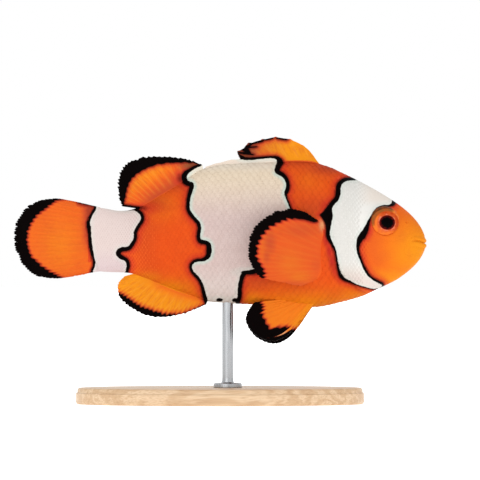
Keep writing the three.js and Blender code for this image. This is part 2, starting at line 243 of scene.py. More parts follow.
def eye_frame(side):
    """Middle of the eyeball, and the unit vector that it looks along."""
    low, high = cad_box(f"eye_{side}")
    return (low + high) / 2, EYE_OUTWARDS[side] / np.linalg.norm(EYE_OUTWARDS[side])


def eye_radius(p, side):
    """Distance of each point from the axis that an eye looks along."""
    middle, out = eye_frame(side)
    away = p - middle
    return np.linalg.norm(away - (away @ out)[:, None] * out, axis=1)


def plate_edge(off, edge, rise, reach, dip, dip_width):
    """A plate that stands out most along its edge, with a dip beyond it. The edge is 1 on the plate."""
    return edge * rise * np.exp(-np.maximum(off, 0) / reach) - (1 - edge) * dip * bump_at(off, dip_width)


def relief(p):
    """How far the skin stands out of the plain flesh at points of its surface."""
    x, y, z = p.T
    off_middle = ease(np.abs(y), 0.6, 2.2)
    gill, along = measure(GILL_OPENING, x, z)
    gill = gill + 0.05 * np.sin(along * 2.1) * ease(z, 24, 27) * ease(z, 37, 34)
    cover = plate_edge(gill, ease(gill, -0.1, 0.06), 0.24, 2.4, 0.14, 1.0)
    cheek, along = measure(CHEEK_PLATE, x, z)
    teeth = 0.07 * np.abs(np.sin(along * 2.6)) * ease(z, 24, 26.5)
    plate = plate_edge(cheek, ease(cheek + teeth, -0.08, 0.08), 0.1, 1.1, 0.08, 0.5)
    height = off_middle * (ease(z, 45.5, 40.5) * cover + ease(z, 38, 35.5) * plate)

    for line, depth, width, ridge_at in FURROWS:
        off, _ = measure(line, x, z)
        height -= depth * bump_at(off, width) - 0.04 * bump_at(off - ridge_at, 0.3)

    mouth, _ = measure(MOUTH, x, z)
    lips = 0.15 * bump_at(np.abs(mouth) - 0.5, 0.34) - 0.05 * bump_at(np.abs(mouth) - 1.1, 0.22)
    height += ease(x, 36.6, 38.4) * (lips - 0.26 * bump_at(mouth, 0.13))

    for side, sign in SIDES.items():
        r = eye_radius(p, side) - EYE_OPENING
        rim = 0.08 * bump_at(r - 0.3, 0.3) - 0.02 * bump_at(r - 0.85, 0.22)
        height += np.where(y * sign > 0, rim - ease(r, -0.02, -0.35), 0)

    pit = np.hypot(x - NOSTRIL[0], z - NOSTRIL[1])
    height += 0.07 * bump_at(pit - 0.3, 0.14) - 0.25 * bump_at(pit, 0.15)
    base = np.hypot((x - PECTORAL_BASE[0]) / 1.5, (z - PECTORAL_BASE[1]) / 5.2)
    height += 0.42 * ease(base, 1.15, 0.5)
    vent = np.hypot((x - VENT_X) / 0.9, y / 0.35)
    return height - np.where(z < 22, 0.3 * bump_at(vent, 1.0), 0)


def skin_point(station, angle, lift=0.0):
    """The skin's surface, or a layer the given distance above it."""
    base = flesh_point(station, angle)
    rise = relief(base.reshape(-1, 3)).reshape(base.shape[:-1])
    return base + flesh_normal(station, angle) * (rise - COAT_DEPTH + lift)[..., None]


# ---- markings
# Each white band's rear and front edge from the top down, as (x, z, width of its black line).
HEAD_BAND = (
    [
        (27.0, 46.5, 0.6), (26.6, 43.6, 0.6), (25.6, 43.4, 0.6), (24.7, 43.3, 0.65), (23.9, 42.9, 0.8),
        (23.4, 42.2, 0.9), (23.3, 40.8, 0.95), (22.9, 39.6, 0.85), (22.2, 38.8, 0.9), (21.7, 38.1, 1.0),
        (21.7, 37.2, 2.1), (21.8, 36.25, 3.5), (21.6, 35.5, 1.8), (21.4, 34.4, 1.0), (21.2, 33.2, 0.75),
        (21.4, 32.2, 0.75), (21.9, 31.1, 0.45), (22.4, 29.9, 0.35), (22.7, 28.2, 0.35),
        (23.2, 26.0, 0.5), (23.7, 24.9, 0.6), (24.5, 24.3, 0.5), (25.2, 24.0, 0.4), (26.2, 23.4, 0.25),
        (28.4, 22.7, 0.18), (29.9, 22.4, 0.15), (31.2, 22.7, 0.2),
    ],
    [
        (34.4, 42.5, 0.8), (33.4, 39.8, 0.8), (33.25, 39.1, 0.75), (32.7, 38.65, 0.36),
        (31.7, 38.65, 0.24), (30.7, 38.35, 0.22), (29.95, 37.8, 0.18), (29.1, 36.5, 0.26),
        (28.4, 35.3, 0.6), (27.8, 34.2, 1.0), (27.0, 33.1, 1.3), (26.5, 32.2, 1.15), (26.3, 31.0, 0.75),
        (26.4, 29.7, 0.5), (26.9, 28.2, 0.45), (27.4, 27.0, 0.4), (27.9, 25.9, 0.5), (28.5, 25.0, 0.45),
        (29.3, 24.3, 0.4), (30.4, 23.6, 0.5), (31.4, 23.1, 0.4),
    ],
)
MIDDLE_BAND = (
    [
        (-3.2, 48.0, 0.6), (-3.4, 46.4, 0.6), (-4.5, 45.8, 0.6), (-5.6, 45.1, 0.7), (-6.3, 44.4, 0.9),
        (-6.4, 43.8, 1.1), (-6.1, 43.3, 1.0), (-5.3, 43.0, 0.9), (-5.0, 42.3, 0.9), (-5.3, 41.3, 0.8),
        (-5.7, 39.9, 0.7), (-5.8, 37.9, 0.7), (-5.4, 37.1, 0.7), (-4.5, 36.0, 0.7), (-3.9, 35.3, 0.7),
        (-3.6, 34.2, 0.7), (-3.8, 32.4, 0.7), (-3.5, 31.9, 0.8), (-2.7, 31.8, 0.8), (-1.9, 31.3, 0.9),
        (-1.6, 30.4, 1.0), (-1.6, 29.5, 1.0), (-1.9, 28.5, 0.9), (-2.5, 28.0, 0.8), (-3.3, 27.7, 0.6),
        (-4.6, 27.6, 0.55), (-5.3, 27.1, 0.5), (-5.4, 26.5, 0.5), (-5.1, 25.8, 0.5), (-3.9, 24.5, 0.6),
        (-3.3, 23.4, 0.6), (-2.8, 21.8, 0.7), (-2.3, 19.7, 0.8), (-1.9, 17.0, 0.8),
    ],
    [
        (3.2, 48.0, 0.35), (3.7, 47.6, 0.5), (5.8, 47.35, 0.55), (8.2, 47.6, 0.45), (10.8, 47.6, 0.6),
        (11.1, 47.1, 1.2), (10.9, 46.6, 1.1), (10.6, 45.7, 1.0), (10.6, 45.1, 1.0), (11.0, 44.6, 0.9),
        (11.8, 44.2, 0.8), (12.5, 43.5, 0.7), (12.8, 42.4, 0.7), (12.6, 41.6, 0.8), (12.4, 40.9, 0.7),
        (12.6, 40.2, 0.4), (13.2, 38.7, 0.3), (13.8, 36.7, 0.3), (13.6, 33.8, 0.3), (12.2, 30.9, 0.3),
        (10.1, 28.4, 0.4), (7.9, 26.8, 0.7), (6.0, 26.1, 0.7), (4.6, 25.8, 0.8), (4.0, 25.1, 0.8),
        (3.6, 23.6, 0.8), (3.4, 22.1, 0.8), (3.4, 20.9, 0.8), (3.1, 19.8, 0.7), (2.9, 17.0, 0.7),
    ],
)
TAIL_BAND = (
    [
        (-23.8, 41.0, 0.5), (-24.0, 38.0, 0.5), (-24.6, 36.7, 0.55), (-25.0, 35.0, 0.65),
        (-25.0, 33.3, 0.7), (-24.8, 31.0, 0.7), (-24.4, 28.5, 0.55), (-24.2, 26.9, 0.5),
        (-24.4, 25.9, 0.45), (-24.5, 23.0, 0.45),
    ],
    [
        (-18.9, 41.0, 0.6), (-18.0, 38.1, 0.6), (-16.9, 37.7, 0.6), (-16.0, 37.2, 0.6),
        (-15.4, 36.5, 0.65), (-15.4, 35.7, 0.65), (-16.0, 34.8, 0.65), (-16.7, 33.4, 0.65),
        (-16.7, 32.4, 0.65), (-17.1, 31.5, 0.7), (-17.9, 30.6, 0.8), (-19.0, 30.5, 0.9),
        (-19.9, 30.0, 0.9), (-20.2, 29.3, 0.9), (-19.9, 28.6, 0.9), (-19.2, 28.1, 0.8),
        (-18.4, 27.7, 0.7), (-18.1, 26.9, 0.65), (-18.3, 26.0, 0.6), (-18.7, 23.0, 0.6),
    ],
)
# Small black spots, as (x, z, half length, half height).
SPOTS = [(-0.1, 20.25, 0.72, 0.33), (2.9, 20.2, 0.6, 0.4), (5.6, 25.6, 1.5, 0.4), (-17.3, 38.0, 1.9, 0.4)]
BAND_FAR = 6.0  # beyond this distance a band has no effect
TINT_TURNS = -0.12  # distance into the white where the tint turns into the white's, below the black line

BAND_LOOPS = {
    name: drawn(rear + front[::-1], closed=True)
    for name, (rear, front) in {"head": HEAD_BAND, "middle": MIDDLE_BAND, "tail": TAIL_BAND}.items()
}


def sway(y, z):
    """The bands of the left flank wander a little differently from the right one's."""
    return ease(y, -1, 1) * (0.35 * np.sin(0.55 * z + 0.6) + 0.2 * np.sin(1.3 * z))


def markings(p, bands=tuple(BAND_LOOPS)):
    """For points on the fish: distance into the white, distance into the black, and which band is near."""
    x, y, z = p.T
    x = x + sway(y, z)
    white, ink = np.full((2, len(p)), -BAND_FAR)
    near = np.full(len(p), -1)
    for band in bands:
        loop = BAND_LOOPS[band]
        low, high = loop[:, 0].min() - BAND_FAR, loop[:, 0].max() + BAND_FAR
        some = np.flatnonzero((x > low) & (x < high))
        distance, place = measure(loop, x[some], z[some])
        distance = np.where(within(loop, x[some], z[some]), 1, -1) * np.abs(distance)
        line = np.interp(place, np.arange(len(loop)), loop[:, 2])
        closer = distance > white[some]
        chosen = some[closer]
        white[chosen] = distance[closer]
        ink[chosen] = (distance + line)[closer]
        near[chosen] = list(BAND_LOOPS).index(band)
    for spot_x, spot_z, length, height in SPOTS:
        spot = (1 - np.hypot((x - spot_x) / length, (z - spot_z) / height)) * height
        ink = np.maximum(ink, spot)
        white = np.minimum(white, -spot)
    return white, ink, near


# Soft washes of tone over the orange, as (x, z, reach along, reach up, strength).
# Gold washes: the orange's own golden tone. Along the belly and the anal fin's root they are also painted
# light, which brightens the underside against the shade that falls on it.
GOLD_AND_PAINTED_LIGHT_WASHES = [
    (39.5, 29.5, 7.5, 7.5, 1.0), (35, 24, 7, 3, 0.9), (17, 18.5, 15, 3.4, 0.95), (27, 20.5, 6, 2.4, 0.8),
    (6, 20, 4, 2, 0.8), (-10.5, 22, 5.5, 2.2, 1.0), (-14, 24.4, 3, 1.3, 0.7), (-10, 21.5, 6, 3, 0.6),
    (-3.5, 20.5, 2.5, 2, 0.6), (17, 43.2, 3.2, 2.4, 0.25), (-11, 38.5, 3, 3, 0.3),
]
# Dusk washes: the orange's dusky tone. The two below the pectoral fin, at (15.5, 22.6) and (7.5, 23.8), are
# the fin's painted shadow. The wide weak one on the cheek, at (29.3, 31.0), is painted shade that tones down
# the light on the head.
DUSK_AND_PAINTED_SHADE_WASHES = [
    (18.0, 37.5, 3.2, 3.0, 0.6), (7.5, 23.8, 3.4, 1.8, 0.5), (15.5, 22.6, 3.5, 1.0, 0.15),
    (-14.6, 33.0, 2.2, 7, 0.35), (21.8, 46.0, 4.5, 1.5, 1.0), (-9, 42.2, 6, 1.2, 0.45),
    (15, 47.2, 6, 1.2, 0.6), (28.9, 33.4, 0.9, 1.4, 0.6), (29.3, 31.0, 2.4, 4.5, 0.25),
    (-13, 39.3, 2.5, 1.2, 0.5),
]
CRIMSON_WASHES = [
    (20.7, 31.8, 0.8, 1.8, 0.8), (21.2, 29.8, 0.8, 1.8, 0.85), (21.7, 27.8, 0.8, 1.8, 0.8),
    (22.1, 26.0, 0.7, 1.4, 0.6), (20.4, 38.6, 1.6, 1.6, 0.4), (28.5, 33.7, 0.8, 1.5, 0.7),
]
# A painted highlight: a pale, peach patch at the top of the pectoral fin's base.
PAINTED_HIGHLIGHT_WASHES = [(19.7, 34.7, 0.7, 1.25, 0.8)]


def washed(x, z, washes):
    """The strongest of some washes at each x, z."""
    total = np.zeros(np.broadcast(x, z).shape)
    for wash_x, wash_z, along, up, strength in washes:
        total = np.maximum(total, strength * bump_at(np.hypot((x - wash_x) / along, (z - wash_z) / up), 1))
    return total


def coat_facts(p, bands=tuple(BAND_LOOPS)):
    """What the skin's shader needs at each point: distances into the white and the black and a coolness of
    the white, then shares of gold and dusk in the orange and a tint. Gold and dusk carry painted light and
    painted shade too, where their washes say so. The tint is lilac in the white, and in the orange crimson
    or, below 0, pale, which is the painted highlight at the pectoral fin's base."""
    white, ink, near = markings(p, bands)
    x, _, z = p.T
    head = 1 - 0.75 * ease(z, 28, 23.5) - 0.5 * ease(x, 26, 30) * ease(z, 38, 40)
    # Elsewhere the white is cooler low down. Near the back's top, above z 44.5, it is cooler and brighter:
    # painted light against the shade on the body's upper curve.
    elsewhere = 0.35 * ease(z, 28, 22) + 0.3 * ease(z, 44.5, 46.5)
    cool = np.select([near == 0, near == 2], [head, 0.12], elsewhere)
    by_band = [0.5 * ease(z, 45, 35), 0.5 + 0.2 * ease(z, 31, 26)]
    lilac = np.select([near == 1, near == 2], by_band, 0.18 + 0.25 * ease(z, 28, 23.5))
    tint = np.where(white > TINT_TURNS, lilac, washed(x, z, CRIMSON_WASHES) - washed(x, z, PAINTED_HIGHLIGHT_WASHES))
    tones = np.stack([washed(x, z, GOLD_AND_PAINTED_LIGHT_WASHES), washed(x, z, DUSK_AND_PAINTED_SHADE_WASHES), tint], -1)
    return {"marks": np.stack([white, ink, cool], -1), "tones": tones}


# ---- meshes
def grid_quads(rows, columns, closed=False):
    """Quads of a grid of points numbered row by row. A closed grid's last column meets its first."""
    i, j = np.meshgrid(np.arange(rows - 1), np.arange(columns if closed else columns - 1), indexing="ij")
    k = (j + 1) % columns
    quads = [i * columns + j, i * columns + k, (i + 1) * columns + k, (i + 1) * columns + j]
    return np.stack(quads, axis=-1).reshape(-1, 4)


def ring_solid(rings, start, end, flipped=False):
    """Points and faces of a closed solid of rings of points, with a point at each end."""
    count, around = rings.shape[:2]
    j = np.arange(around)
    k = (j + 1) % around
    last, tip = (count - 1) * around, np.full_like(j, count * around)
    caps = [np.stack([k, j, tip], -1), np.stack([last + j, last + k, tip + 1], -1)]
    faces = [grid_quads(count, around, closed=True), *caps]
    if flipped:
        faces = [face[:, ::-1] for face in faces]
    return np.vstack([rings.reshape(-1, 3), start, end]), faces


def build(name, points, faces, material, uv=None, facts=None, sharp=None):
    """A mesh object from points in millimetres and lists of same-sized faces. uv and facts are per point."""
    mesh = bpy.data.meshes.new(name)
    corners = np.concatenate([f.ravel() for f in faces]).astype(np.int32)
    sizes = np.concatenate([np.full(len(f), f.shape[1]) for f in faces])
    mesh.vertices.add(len(points))
    mesh.vertices.foreach_set("co", (np.asarray(points) * MM).astype(np.float32).ravel())
    mesh.loops.add(len(corners))
    mesh.loops.foreach_set("vertex_index", corners)
    mesh.polygons.add(len(sizes))
    mesh.polygons.foreach_set("loop_start", np.concatenate([[0], np.cumsum(sizes)[:-1]]).astype(np.int32))
    if uv is not None:
        layer = mesh.uv_layers.new(name="OFBake")
        layer.data.foreach_set("uv", np.asarray(uv)[corners].astype(np.float32).ravel())
    for key, values in (facts or {}).items():
        attribute = mesh.attributes.new(key, "FLOAT_VECTOR", "POINT")
        attribute.data.foreach_set("vector", np.asarray(values, np.float32).ravel())
    mesh.update(calc_edges=True)
    mesh.validate()
    mesh.polygons.foreach_set("use_smooth", np.ones(len(mesh.polygons), bool))
    if sharp is not None:
        mesh.set_sharp_from_angle(angle=math.radians(sharp))
    mesh.materials.append(material)
    return in_scene(bpy.data.objects.new(name, mesh))


def in_scene(thing):
    """Links an object to the scene."""
    bpy.context.scene.collection.objects.link(thing)
    return thing


def place(piece, slot, *nodes):
    """Rides a piece on the model's one body, in place of CAD nodes."""
    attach(piece, "root")
    if nodes:
        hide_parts(*nodes)


# ---- shaders
STUDIO_GAIN = 1.27  # how much brighter than its own colour the studio shows a surface


def colour(red, green, blue):
    """The linear colour of a surface that the studio shows as the given display colour of 0 to 255."""
    channels = np.array([red, green, blue]) / 255
    linear = np.where(channels <= 0.04045, channels / 12.92, ((channels + 0.055) / 1.055) ** 2.4)
    return (*(linear / STUDIO_GAIN), 1.0)


class Shader:
    """A material being put together node by node. Values passed in are numbers, colours or sockets."""

    def __init__(self, name, **surface):
        self.material = bpy.data.materials.new(name)
        self.material.use_nodes = True
        self.tree = self.material.node_tree
        self.surface = self.tree.nodes["Principled BSDF"]
        for key, value in surface.items():
            self.surface.inputs[key.replace("_", " ")].default_value = value

    def node(self, kind, inputs, output=0, **settings):
        """An output of a new node."""
        node = self.tree.nodes.new(kind)
        for key, value in settings.items():
            setattr(node, key, value)
        for key, value in inputs.items():
            self.feed(node.inputs[key], value)
        return node.outputs[output]

    def feed(self, socket, value):
        if isinstance(value, bpy.types.NodeSocket):
            self.tree.links.new(value, socket)
        else:
            socket.default_value = value

    def math(self, operation, a, b=0.0):
        return self.node("ShaderNodeMath", {0: a, 1: b}, operation=operation)

    def times(self, a, b):
        return self.math("MULTIPLY", a, b)

    def mix(self, share, a, b, blend="MIX"):
        return self.node("ShaderNodeMix", {0: share, 6: a, 7: b}, 2, data_type="RGBA", blend_type=blend)

    def ease(self, value, low, high, top=1.0):
        """0 at low and top at high, as the mesh code's ease."""
        fields = {"Value": value, "From Min": low, "From Max": high, "To Max": top}
        return self.node("ShaderNodeMapRange", fields, interpolation_type="SMOOTHSTEP")

    def over(self, base, layer, value, low, high, top=1.0, blend="MIX"):
        """A base with a layer that comes over it as a value goes from low to high, to a share of top."""
        return self.mix(self.ease(value, low, high, top), base, layer, blend)

    def facts(self, name):
        """The three numbers of a mesh attribute."""
        vector = self.node("ShaderNodeAttribute", {}, "Vector", attribute_name=name)
        split = self.node("ShaderNodeSeparateXYZ", {0: vector})
        return split.node.outputs

    def noise(self, size, detail=2.0, stretch=(1, 1, 1)):
        """Noise of about the given size in millimetres on the object, from 0 to 1, stretched."""
        at = self.node("ShaderNodeTexCoord", {}, "Object")
        scale = tuple(s / MM for s in stretch)
        at = self.node("ShaderNodeVectorMath", {0: at, 1: scale}, operation="MULTIPLY")
        return self.node("ShaderNodeTexNoise", {"Vector": at, "Scale": 1 / size, "Detail": detail}, "Fac")

    def bump(self, height, depth, normal=None):
        """A bump of the given depth in millimetres for heights of 0 to 1."""
        fields = {"Height": height, "Distance": depth * MM, "Strength": 1.0}
        if normal is not None:
            fields["Normal"] = normal
        return self.node("ShaderNodeBump", fields)

    def finish(self, base, rough=None, normal=None):
        """The material. rough is a value with its low and high end and the roughness at the high one."""
        self.feed(self.surface.inputs["Base Color"], base)
        if rough is not None:
            self.feed(self.surface.inputs["Roughness"], self.ease(*rough))
        if normal is not None:
            self.feed(self.surface.inputs["Normal"], normal)
        return self.material


GLOSS = 0.02  # kept low, because the photo's black is velvety
ORANGE = colour(238, 96, 33)
GOLD = colour(240, 149, 26)
DUSK = colour(198, 77, 42)
RED = colour(210, 58, 40)
CRIMSON = colour(190, 40, 44)
PEACH = colour(238, 178, 124)
DARK_RED = colour(104, 26, 20)
BROWN = colour(132, 82, 50)
INK = colour(5, 1, 1)
BEIGE = colour(239, 223, 201)
LILAC = colour(209, 183, 197)
COOL = colour(236, 234, 229)
MINT = colour(212, 228, 218)


def fish_colour(shader, blush=1.7, streaked=lambda orange: orange):
    """The orange, mottled, between golden and dusky and perhaps streaked, with red shading into the black
    lines over the blush's width, and the white bands."""
    white, ink, cool = shader.facts("marks")
    gold, dusk, tint = shader.facts("tones")
    flesh = shader.mix(dusk, shader.mix(gold, ORANGE, GOLD), DUSK)
    flesh = streaked(shader.over(flesh, DUSK, shader.noise(4.0, 3), 0.4, 0.75, 0.16))

    ragged = shader.times(shader.math("SUBTRACT", shader.noise(0.5, 3), 0.5), 0.22)
    white, ink = (shader.math("ADD", distance, ragged) for distance in (white, ink))
    flesh = shader.over(flesh, CRIMSON, tint, 0, 1)
    flesh = shader.over(flesh, RED, ink, -blush, -0.1, 0.75)
    # Below 0 the tint turns pale: the painted highlight at the pectoral fin's base, and the pelvic fin's
    # pale slit.
    flesh = shader.over(flesh, PEACH, tint, 0, -1)
    flesh = shader.over(flesh, BROWN, cool, 1, 2)
    flesh = shader.over(flesh, DARK_RED, ink, -0.5, 0.02, 0.85)
    flesh = shader.over(flesh, INK, ink, -0.06, 0.06)

    paper = shader.mix(cool, shader.mix(tint, BEIGE, LILAC), COOL)
    fringe = shader.math("ADD", shader.ease(cool, 0.1, 0.0, 0.5), 0.25)
    paper = shader.mix(shader.times(fringe, shader.ease(white, 0.9, 0.15)), paper, MINT)
    return shader.over(flesh, paper, white, -0.05, 0.07)


def skin_material():
    shader = Shader("fish_skin", Specular_IOR_Level=GLOSS)
    grain = shader.noise(0.22, 4)
    base = shader.over(fish_colour(shader), DARK_RED, grain, 0.45, 0.8, 0.16, "SOFT_LIGHT")
    normal = shader.bump(grain, 0.05, shader.bump(shader.noise(1.1, 2), 0.06))
    return shader.finish(base, (grain, -0.5, 1.3, 0.85), normal)


def scale_material():
    """The skin's colours, a little different from scale to scale, on ringed and rayed plates."""
    shader = Shader("fish_scales", Specular_IOR_Level=GLOSS)
    across, along, lot = shader.facts("scale")
    shade = shader.over(colour(130, 130, 130), colour(152, 152, 152), lot, 0, 1)
    base = shader.mix(0.5, fish_colour(shader), shade, "SOFT_LIGHT")
    # Painted shade: the root half of each scale, under the free edge of the scale in front, is a little
    # darker.
    base = shader.over(base, colour(90, 60, 55), along, 0.75, 0.45, 0.08, "SOFT_LIGHT")
    rings = shader.math("SINE", shader.times(along, 46.0))
    rays = shader.math("SINE", shader.times(across, 15.0))
    ridges = shader.math("ADD", rings, shader.times(rays, 0.6))
    normal = shader.bump(ridges, 0.006, shader.bump(shader.noise(0.3, 3), 0.03))
    return shader.finish(base, (shader.noise(0.8, 2), -0.5, 1.3, 0.85), normal)


# ---- skin
TRUNK_STEP = 0.42  # spacing of the skin's rings behind the head
HEAD_STEP = 0.17
RING_POINTS = 320
SNOUT_Z = 31.15


def ring_stations():
    """Stations of the skin's rings, close together on the head."""
    station = np.linspace(0, math.pi / 2, 4000)
    x = TAIL_ROOT_X + FLESH_LENGTH * np.sin(station)
    travel = np.hypot(np.diff(x), np.diff(back_z(station)))
    step = np.interp(x[:-1], [17, 21], [TRUNK_STEP, HEAD_STEP])
    count = np.concatenate([[0], np.cumsum(travel / step)])
    return np.interp(np.arange(0, count[-1] - 0.5), count, station)


def make_skin(material):
    """The skin over all of the flesh. Its tail end tucks in round the fin's root."""
    station = ring_stations()
    share = np.arange(RING_POINTS) / RING_POINTS
    at, turn = np.meshgrid(station, share * 2 * math.pi - math.pi / 2, indexing="ij")
    tail = [TAIL_ROOT_X - 0.1, 0, (back_z(0.0) + belly_z(0.0)) / 2]
    snout = [SNOUT_X - COAT_DEPTH - 0.5, 0, SNOUT_Z]
    points, faces = ring_solid(skin_point(at, turn), tail, snout, flipped=True)
    uv = np.meshgrid(np.linspace(0.02, 0.98, len(station)), 0.02 + 0.96 * share, indexing="ij")
    uv = np.vstack([np.stack(uv, -1).reshape(-1, 2), [0.005, 0.5], [0.995, 0.5]])
    piece = build("skin", points, faces, material, uv, coat_facts(points))
    place(piece, "skin", "head", "lower_jaw", "gill_cover_right", "gill_cover_left", "trunk", "tail_stalk")


# ---- scales
class Girth:
    """Turns a share of the way from back to belly, at a station, into the flesh's angle and its girth."""

    def __init__(self):
        self.station = np.linspace(0, math.pi / 2 - 0.01, 240)
        self.share = np.linspace(0, 1, 120)
        angle = np.linspace(math.pi / 2, -math.pi / 2, 400)
        at, turn = np.meshgrid(self.station, angle, indexing="ij")
        steps = np.linalg.norm(np.diff(flesh_point(at, turn)[..., 1:], axis=1), axis=2)
        travel = np.concatenate([np.zeros((len(at), 1)), np.cumsum(steps, axis=1)], axis=1)
        self.length = travel[:, -1]
        self.angle = np.array([np.interp(self.share, t / t[-1], angle) for t in travel])

    def half(self, station):
        """The way from back to belly."""
        return np.interp(station, self.station, self.length)

    def angle_at(self, station, share):
        """The flesh's angle there on the left flank."""
        row = np.interp(station, self.station, np.arange(len(self.station)))
        column = np.clip(share, 0, 1) * (len(self.share) - 1)
        i = np.minimum(row.astype(int), len(self.station) - 2)
        j = np.minimum(column.astype(int), len(self.share) - 2)
        a, b = row - i, column - j
        upper = self.angle[i, j] * (1 - b) + self.angle[i, j + 1] * b
        lower = self.angle[i + 1, j] * (1 - b) + self.angle[i + 1, j + 1] * b
        return upper * (1 - a) + lower * a


GIRTH = Girth()
SCALE_ACROSS = 6  # points of one scale's grid
SCALE_ALONG = 6
SCALE_LENGTH = 2.3  # in rows
SCALE_HALF_WIDTH = 1.12
SCALE_PITCH = 1.22  # spacing along a row, in rows
SCALE_THICKNESS = 0.04
BODY_ROWS = 34
HEAD_ROWS = 50


def scale_template():
    """Faces of one scale: a curved grid on top, with thin walls and a plain underside."""
    n, m = SCALE_ACROSS, SCALE_ALONG
    under = n * m + np.arange(2 * m).reshape(m, 2)
    below = np.stack([under[:-1, 0], under[1:, 0], under[1:, 1], under[:-1, 1]], -1)
    first, last = np.arange(m) * n, np.arange(m) * n + n - 1
    low_wall = np.stack([first[:-1], first[1:], under[1:, 0], under[:-1, 0]], -1)
    high_wall = np.stack([last[1:], last[:-1], under[:-1, 1], under[1:, 1]], -1)
    root = np.concatenate([np.arange(n), under[0, ::-1]])
    tip = np.concatenate([(m - 1) * n + np.arange(n)[::-1], under[-1]])
    return np.vstack([grid_quads(m, n), below, low_wall, high_wall]), np.vstack([root, tip])


def scale_sites(rows, wanted, seed):
    """Roots of scales in staggered rows, as (x, share of the girth), with a random number each."""
    random = np.random.default_rng(seed)
    fine = np.linspace(SNOUT_X - 1, TAIL_ROOT_X - 0.2, 3000)
    row_height = GIRTH.half(station_of(fine)) / rows
    count = np.concatenate([[0], np.cumsum(-np.diff(fine) / (SCALE_PITCH * row_height[1:]))])
    sites = []
    for row in range(rows):
        column = np.arange(row % 2 * 0.5, count[-1], 1.0)
        x = np.interp(column + random.normal(0, 0.03, len(column)), count, fine)
        share = (row + 0.5 + random.normal(0, 0.04, len(column))) / rows
        p = flesh_point(station_of(x), GIRTH.angle_at(station_of(x), share))
        sites.append(np.stack([x, share, random.random(len(x))], -1)[wanted(p[:, 0], p[:, 2])])
    return np.vstack(sites)


def make_scales(name, sites, rows, side, material, size=lambda x: 1.0):
    """One mesh of scales, each a thin plate that follows the skin, root forward and free edge back."""
    sign = SIDES[side]
    # Places across a scale, -1 to 1, and along it, 0 to 1: first the top's, then the underside's.
    steps = np.linspace(0, 1, SCALE_ALONG)
    a, b = np.meshgrid(np.linspace(-1, 1, SCALE_ACROSS), steps, indexing="xy")
    all_a = np.concatenate([a.ravel(), np.tile([-1.0, 1.0], SCALE_ALONG)])
    all_b = np.concatenate([b.ravel(), np.repeat(steps, 2)])
    is_under = np.arange(len(all_a)) >= a.size

    x0, share0, lot = (column[:, None] for column in sites.T)
    station0 = station_of(x0)
    row_height = GIRTH.half(station0) / rows
    grow = size(x0) * (0.96 + 0.08 * lot)
    back = all_b * (1 - 0.3 * all_a**2) * SCALE_LENGTH * row_height * grow
    station = station_of(np.clip(x0 - back + 0.35 * row_height, TAIL_ROOT_X + 0.02, None))
    wide = SCALE_HALF_WIDTH * grow * (1 - 0.3 * all_b**3)
    angle = GIRTH.angle_at(station, np.clip(share0 + all_a * wide / rows, 0.001, 0.999))
    rise = 0.14 * np.minimum(row_height, 1) * grow
    lift = -0.05 + rise * all_b**0.8 - 0.35 * rise * all_a**2 - np.where(is_under, SCALE_THICKNESS, 0)
    points = skin_point(station, angle if sign > 0 else math.pi - angle, lift).reshape(-1, 3)

    offset = np.arange(len(sites))[:, None, None] * len(all_a)
    faces = [(template[None] + offset).reshape(-1, template.shape[1]) for template in scale_template()]
    if sign > 0:
        faces = [face[:, ::-1] for face in faces]
    home = 0.01 + 0.98 * np.stack([station0 / (math.pi / 2), share0], -1)
    uv = (home + 0.0015 * np.stack([all_b * 2 - 1, all_a], -1)).reshape(-1, 2)
    facts = coat_facts(points)
    facts["scale"] = np.stack(np.broadcast_arrays(all_a, all_b, lot), -1).reshape(-1, 3)
    place(build(name, points, faces, material, uv, facts, sharp=55), "skin")


def body_scaled(x, z):
    """Where body scales root: behind the gill opening."""
    return measure(GILL_OPENING, x, z)[0] < 0.25


def head_scaled(x, z):
    """Where the small head scales root: nape, gill cover and cheek, short of the naked face."""
    eye_x, eye_z = eye_frame("right")[0][[0, 2]]
    off_eye = np.hypot(x - eye_x, z - eye_z) > EYE_OPENING + 1.3
    face = x < 31.5 - 0.25 * np.abs(z - 36)
    return (measure(GILL_OPENING, x, z)[0] > 0.55) & off_eye & face & (z > 23.2)


def head_size(x):
    return 0.62 + 0.38 * ease(x, 31.5, 26)


def make_coat(material):
    for number, side in enumerate(SIDES):
        sites = scale_sites(BODY_ROWS, body_scaled, 11 + number)
        upper = sites[:, 1] < 0.5
        make_scales(f"scales_{side}_upper", sites[upper], BODY_ROWS, side, material)
        make_scales(f"scales_{side}_lower", sites[~upper], BODY_ROWS, side, material)
        sites = scale_sites(HEAD_ROWS, head_scaled, 21 + number)
        make_scales(f"scales_{side}_head", sites, HEAD_ROWS, side, material, head_size)


# ---- eyes
EYE_RADIUS = 3.0
EYE_DEPTH = 2.0
EYE_SQUARENESS = 2.6  # over 2 the eyeball is flatter in front and steeper at the rim than an ellipsoid
EYE_RINGS, EYE_AROUND = 90, 96
PUPIL = 1.5
GAZE = (0.2, -0.2)  # how far the pupil lies forward and up from the eye's middle
PUPIL_SHAPE = (1.06, 0.94)  # how much wider and flatter than round it is
BROW_TURN = math.radians(125)  # direction of the middle of the olive rim, from forward towards up
FLUSH_TURN = math.radians(45)  # direction in which the iris is darkest


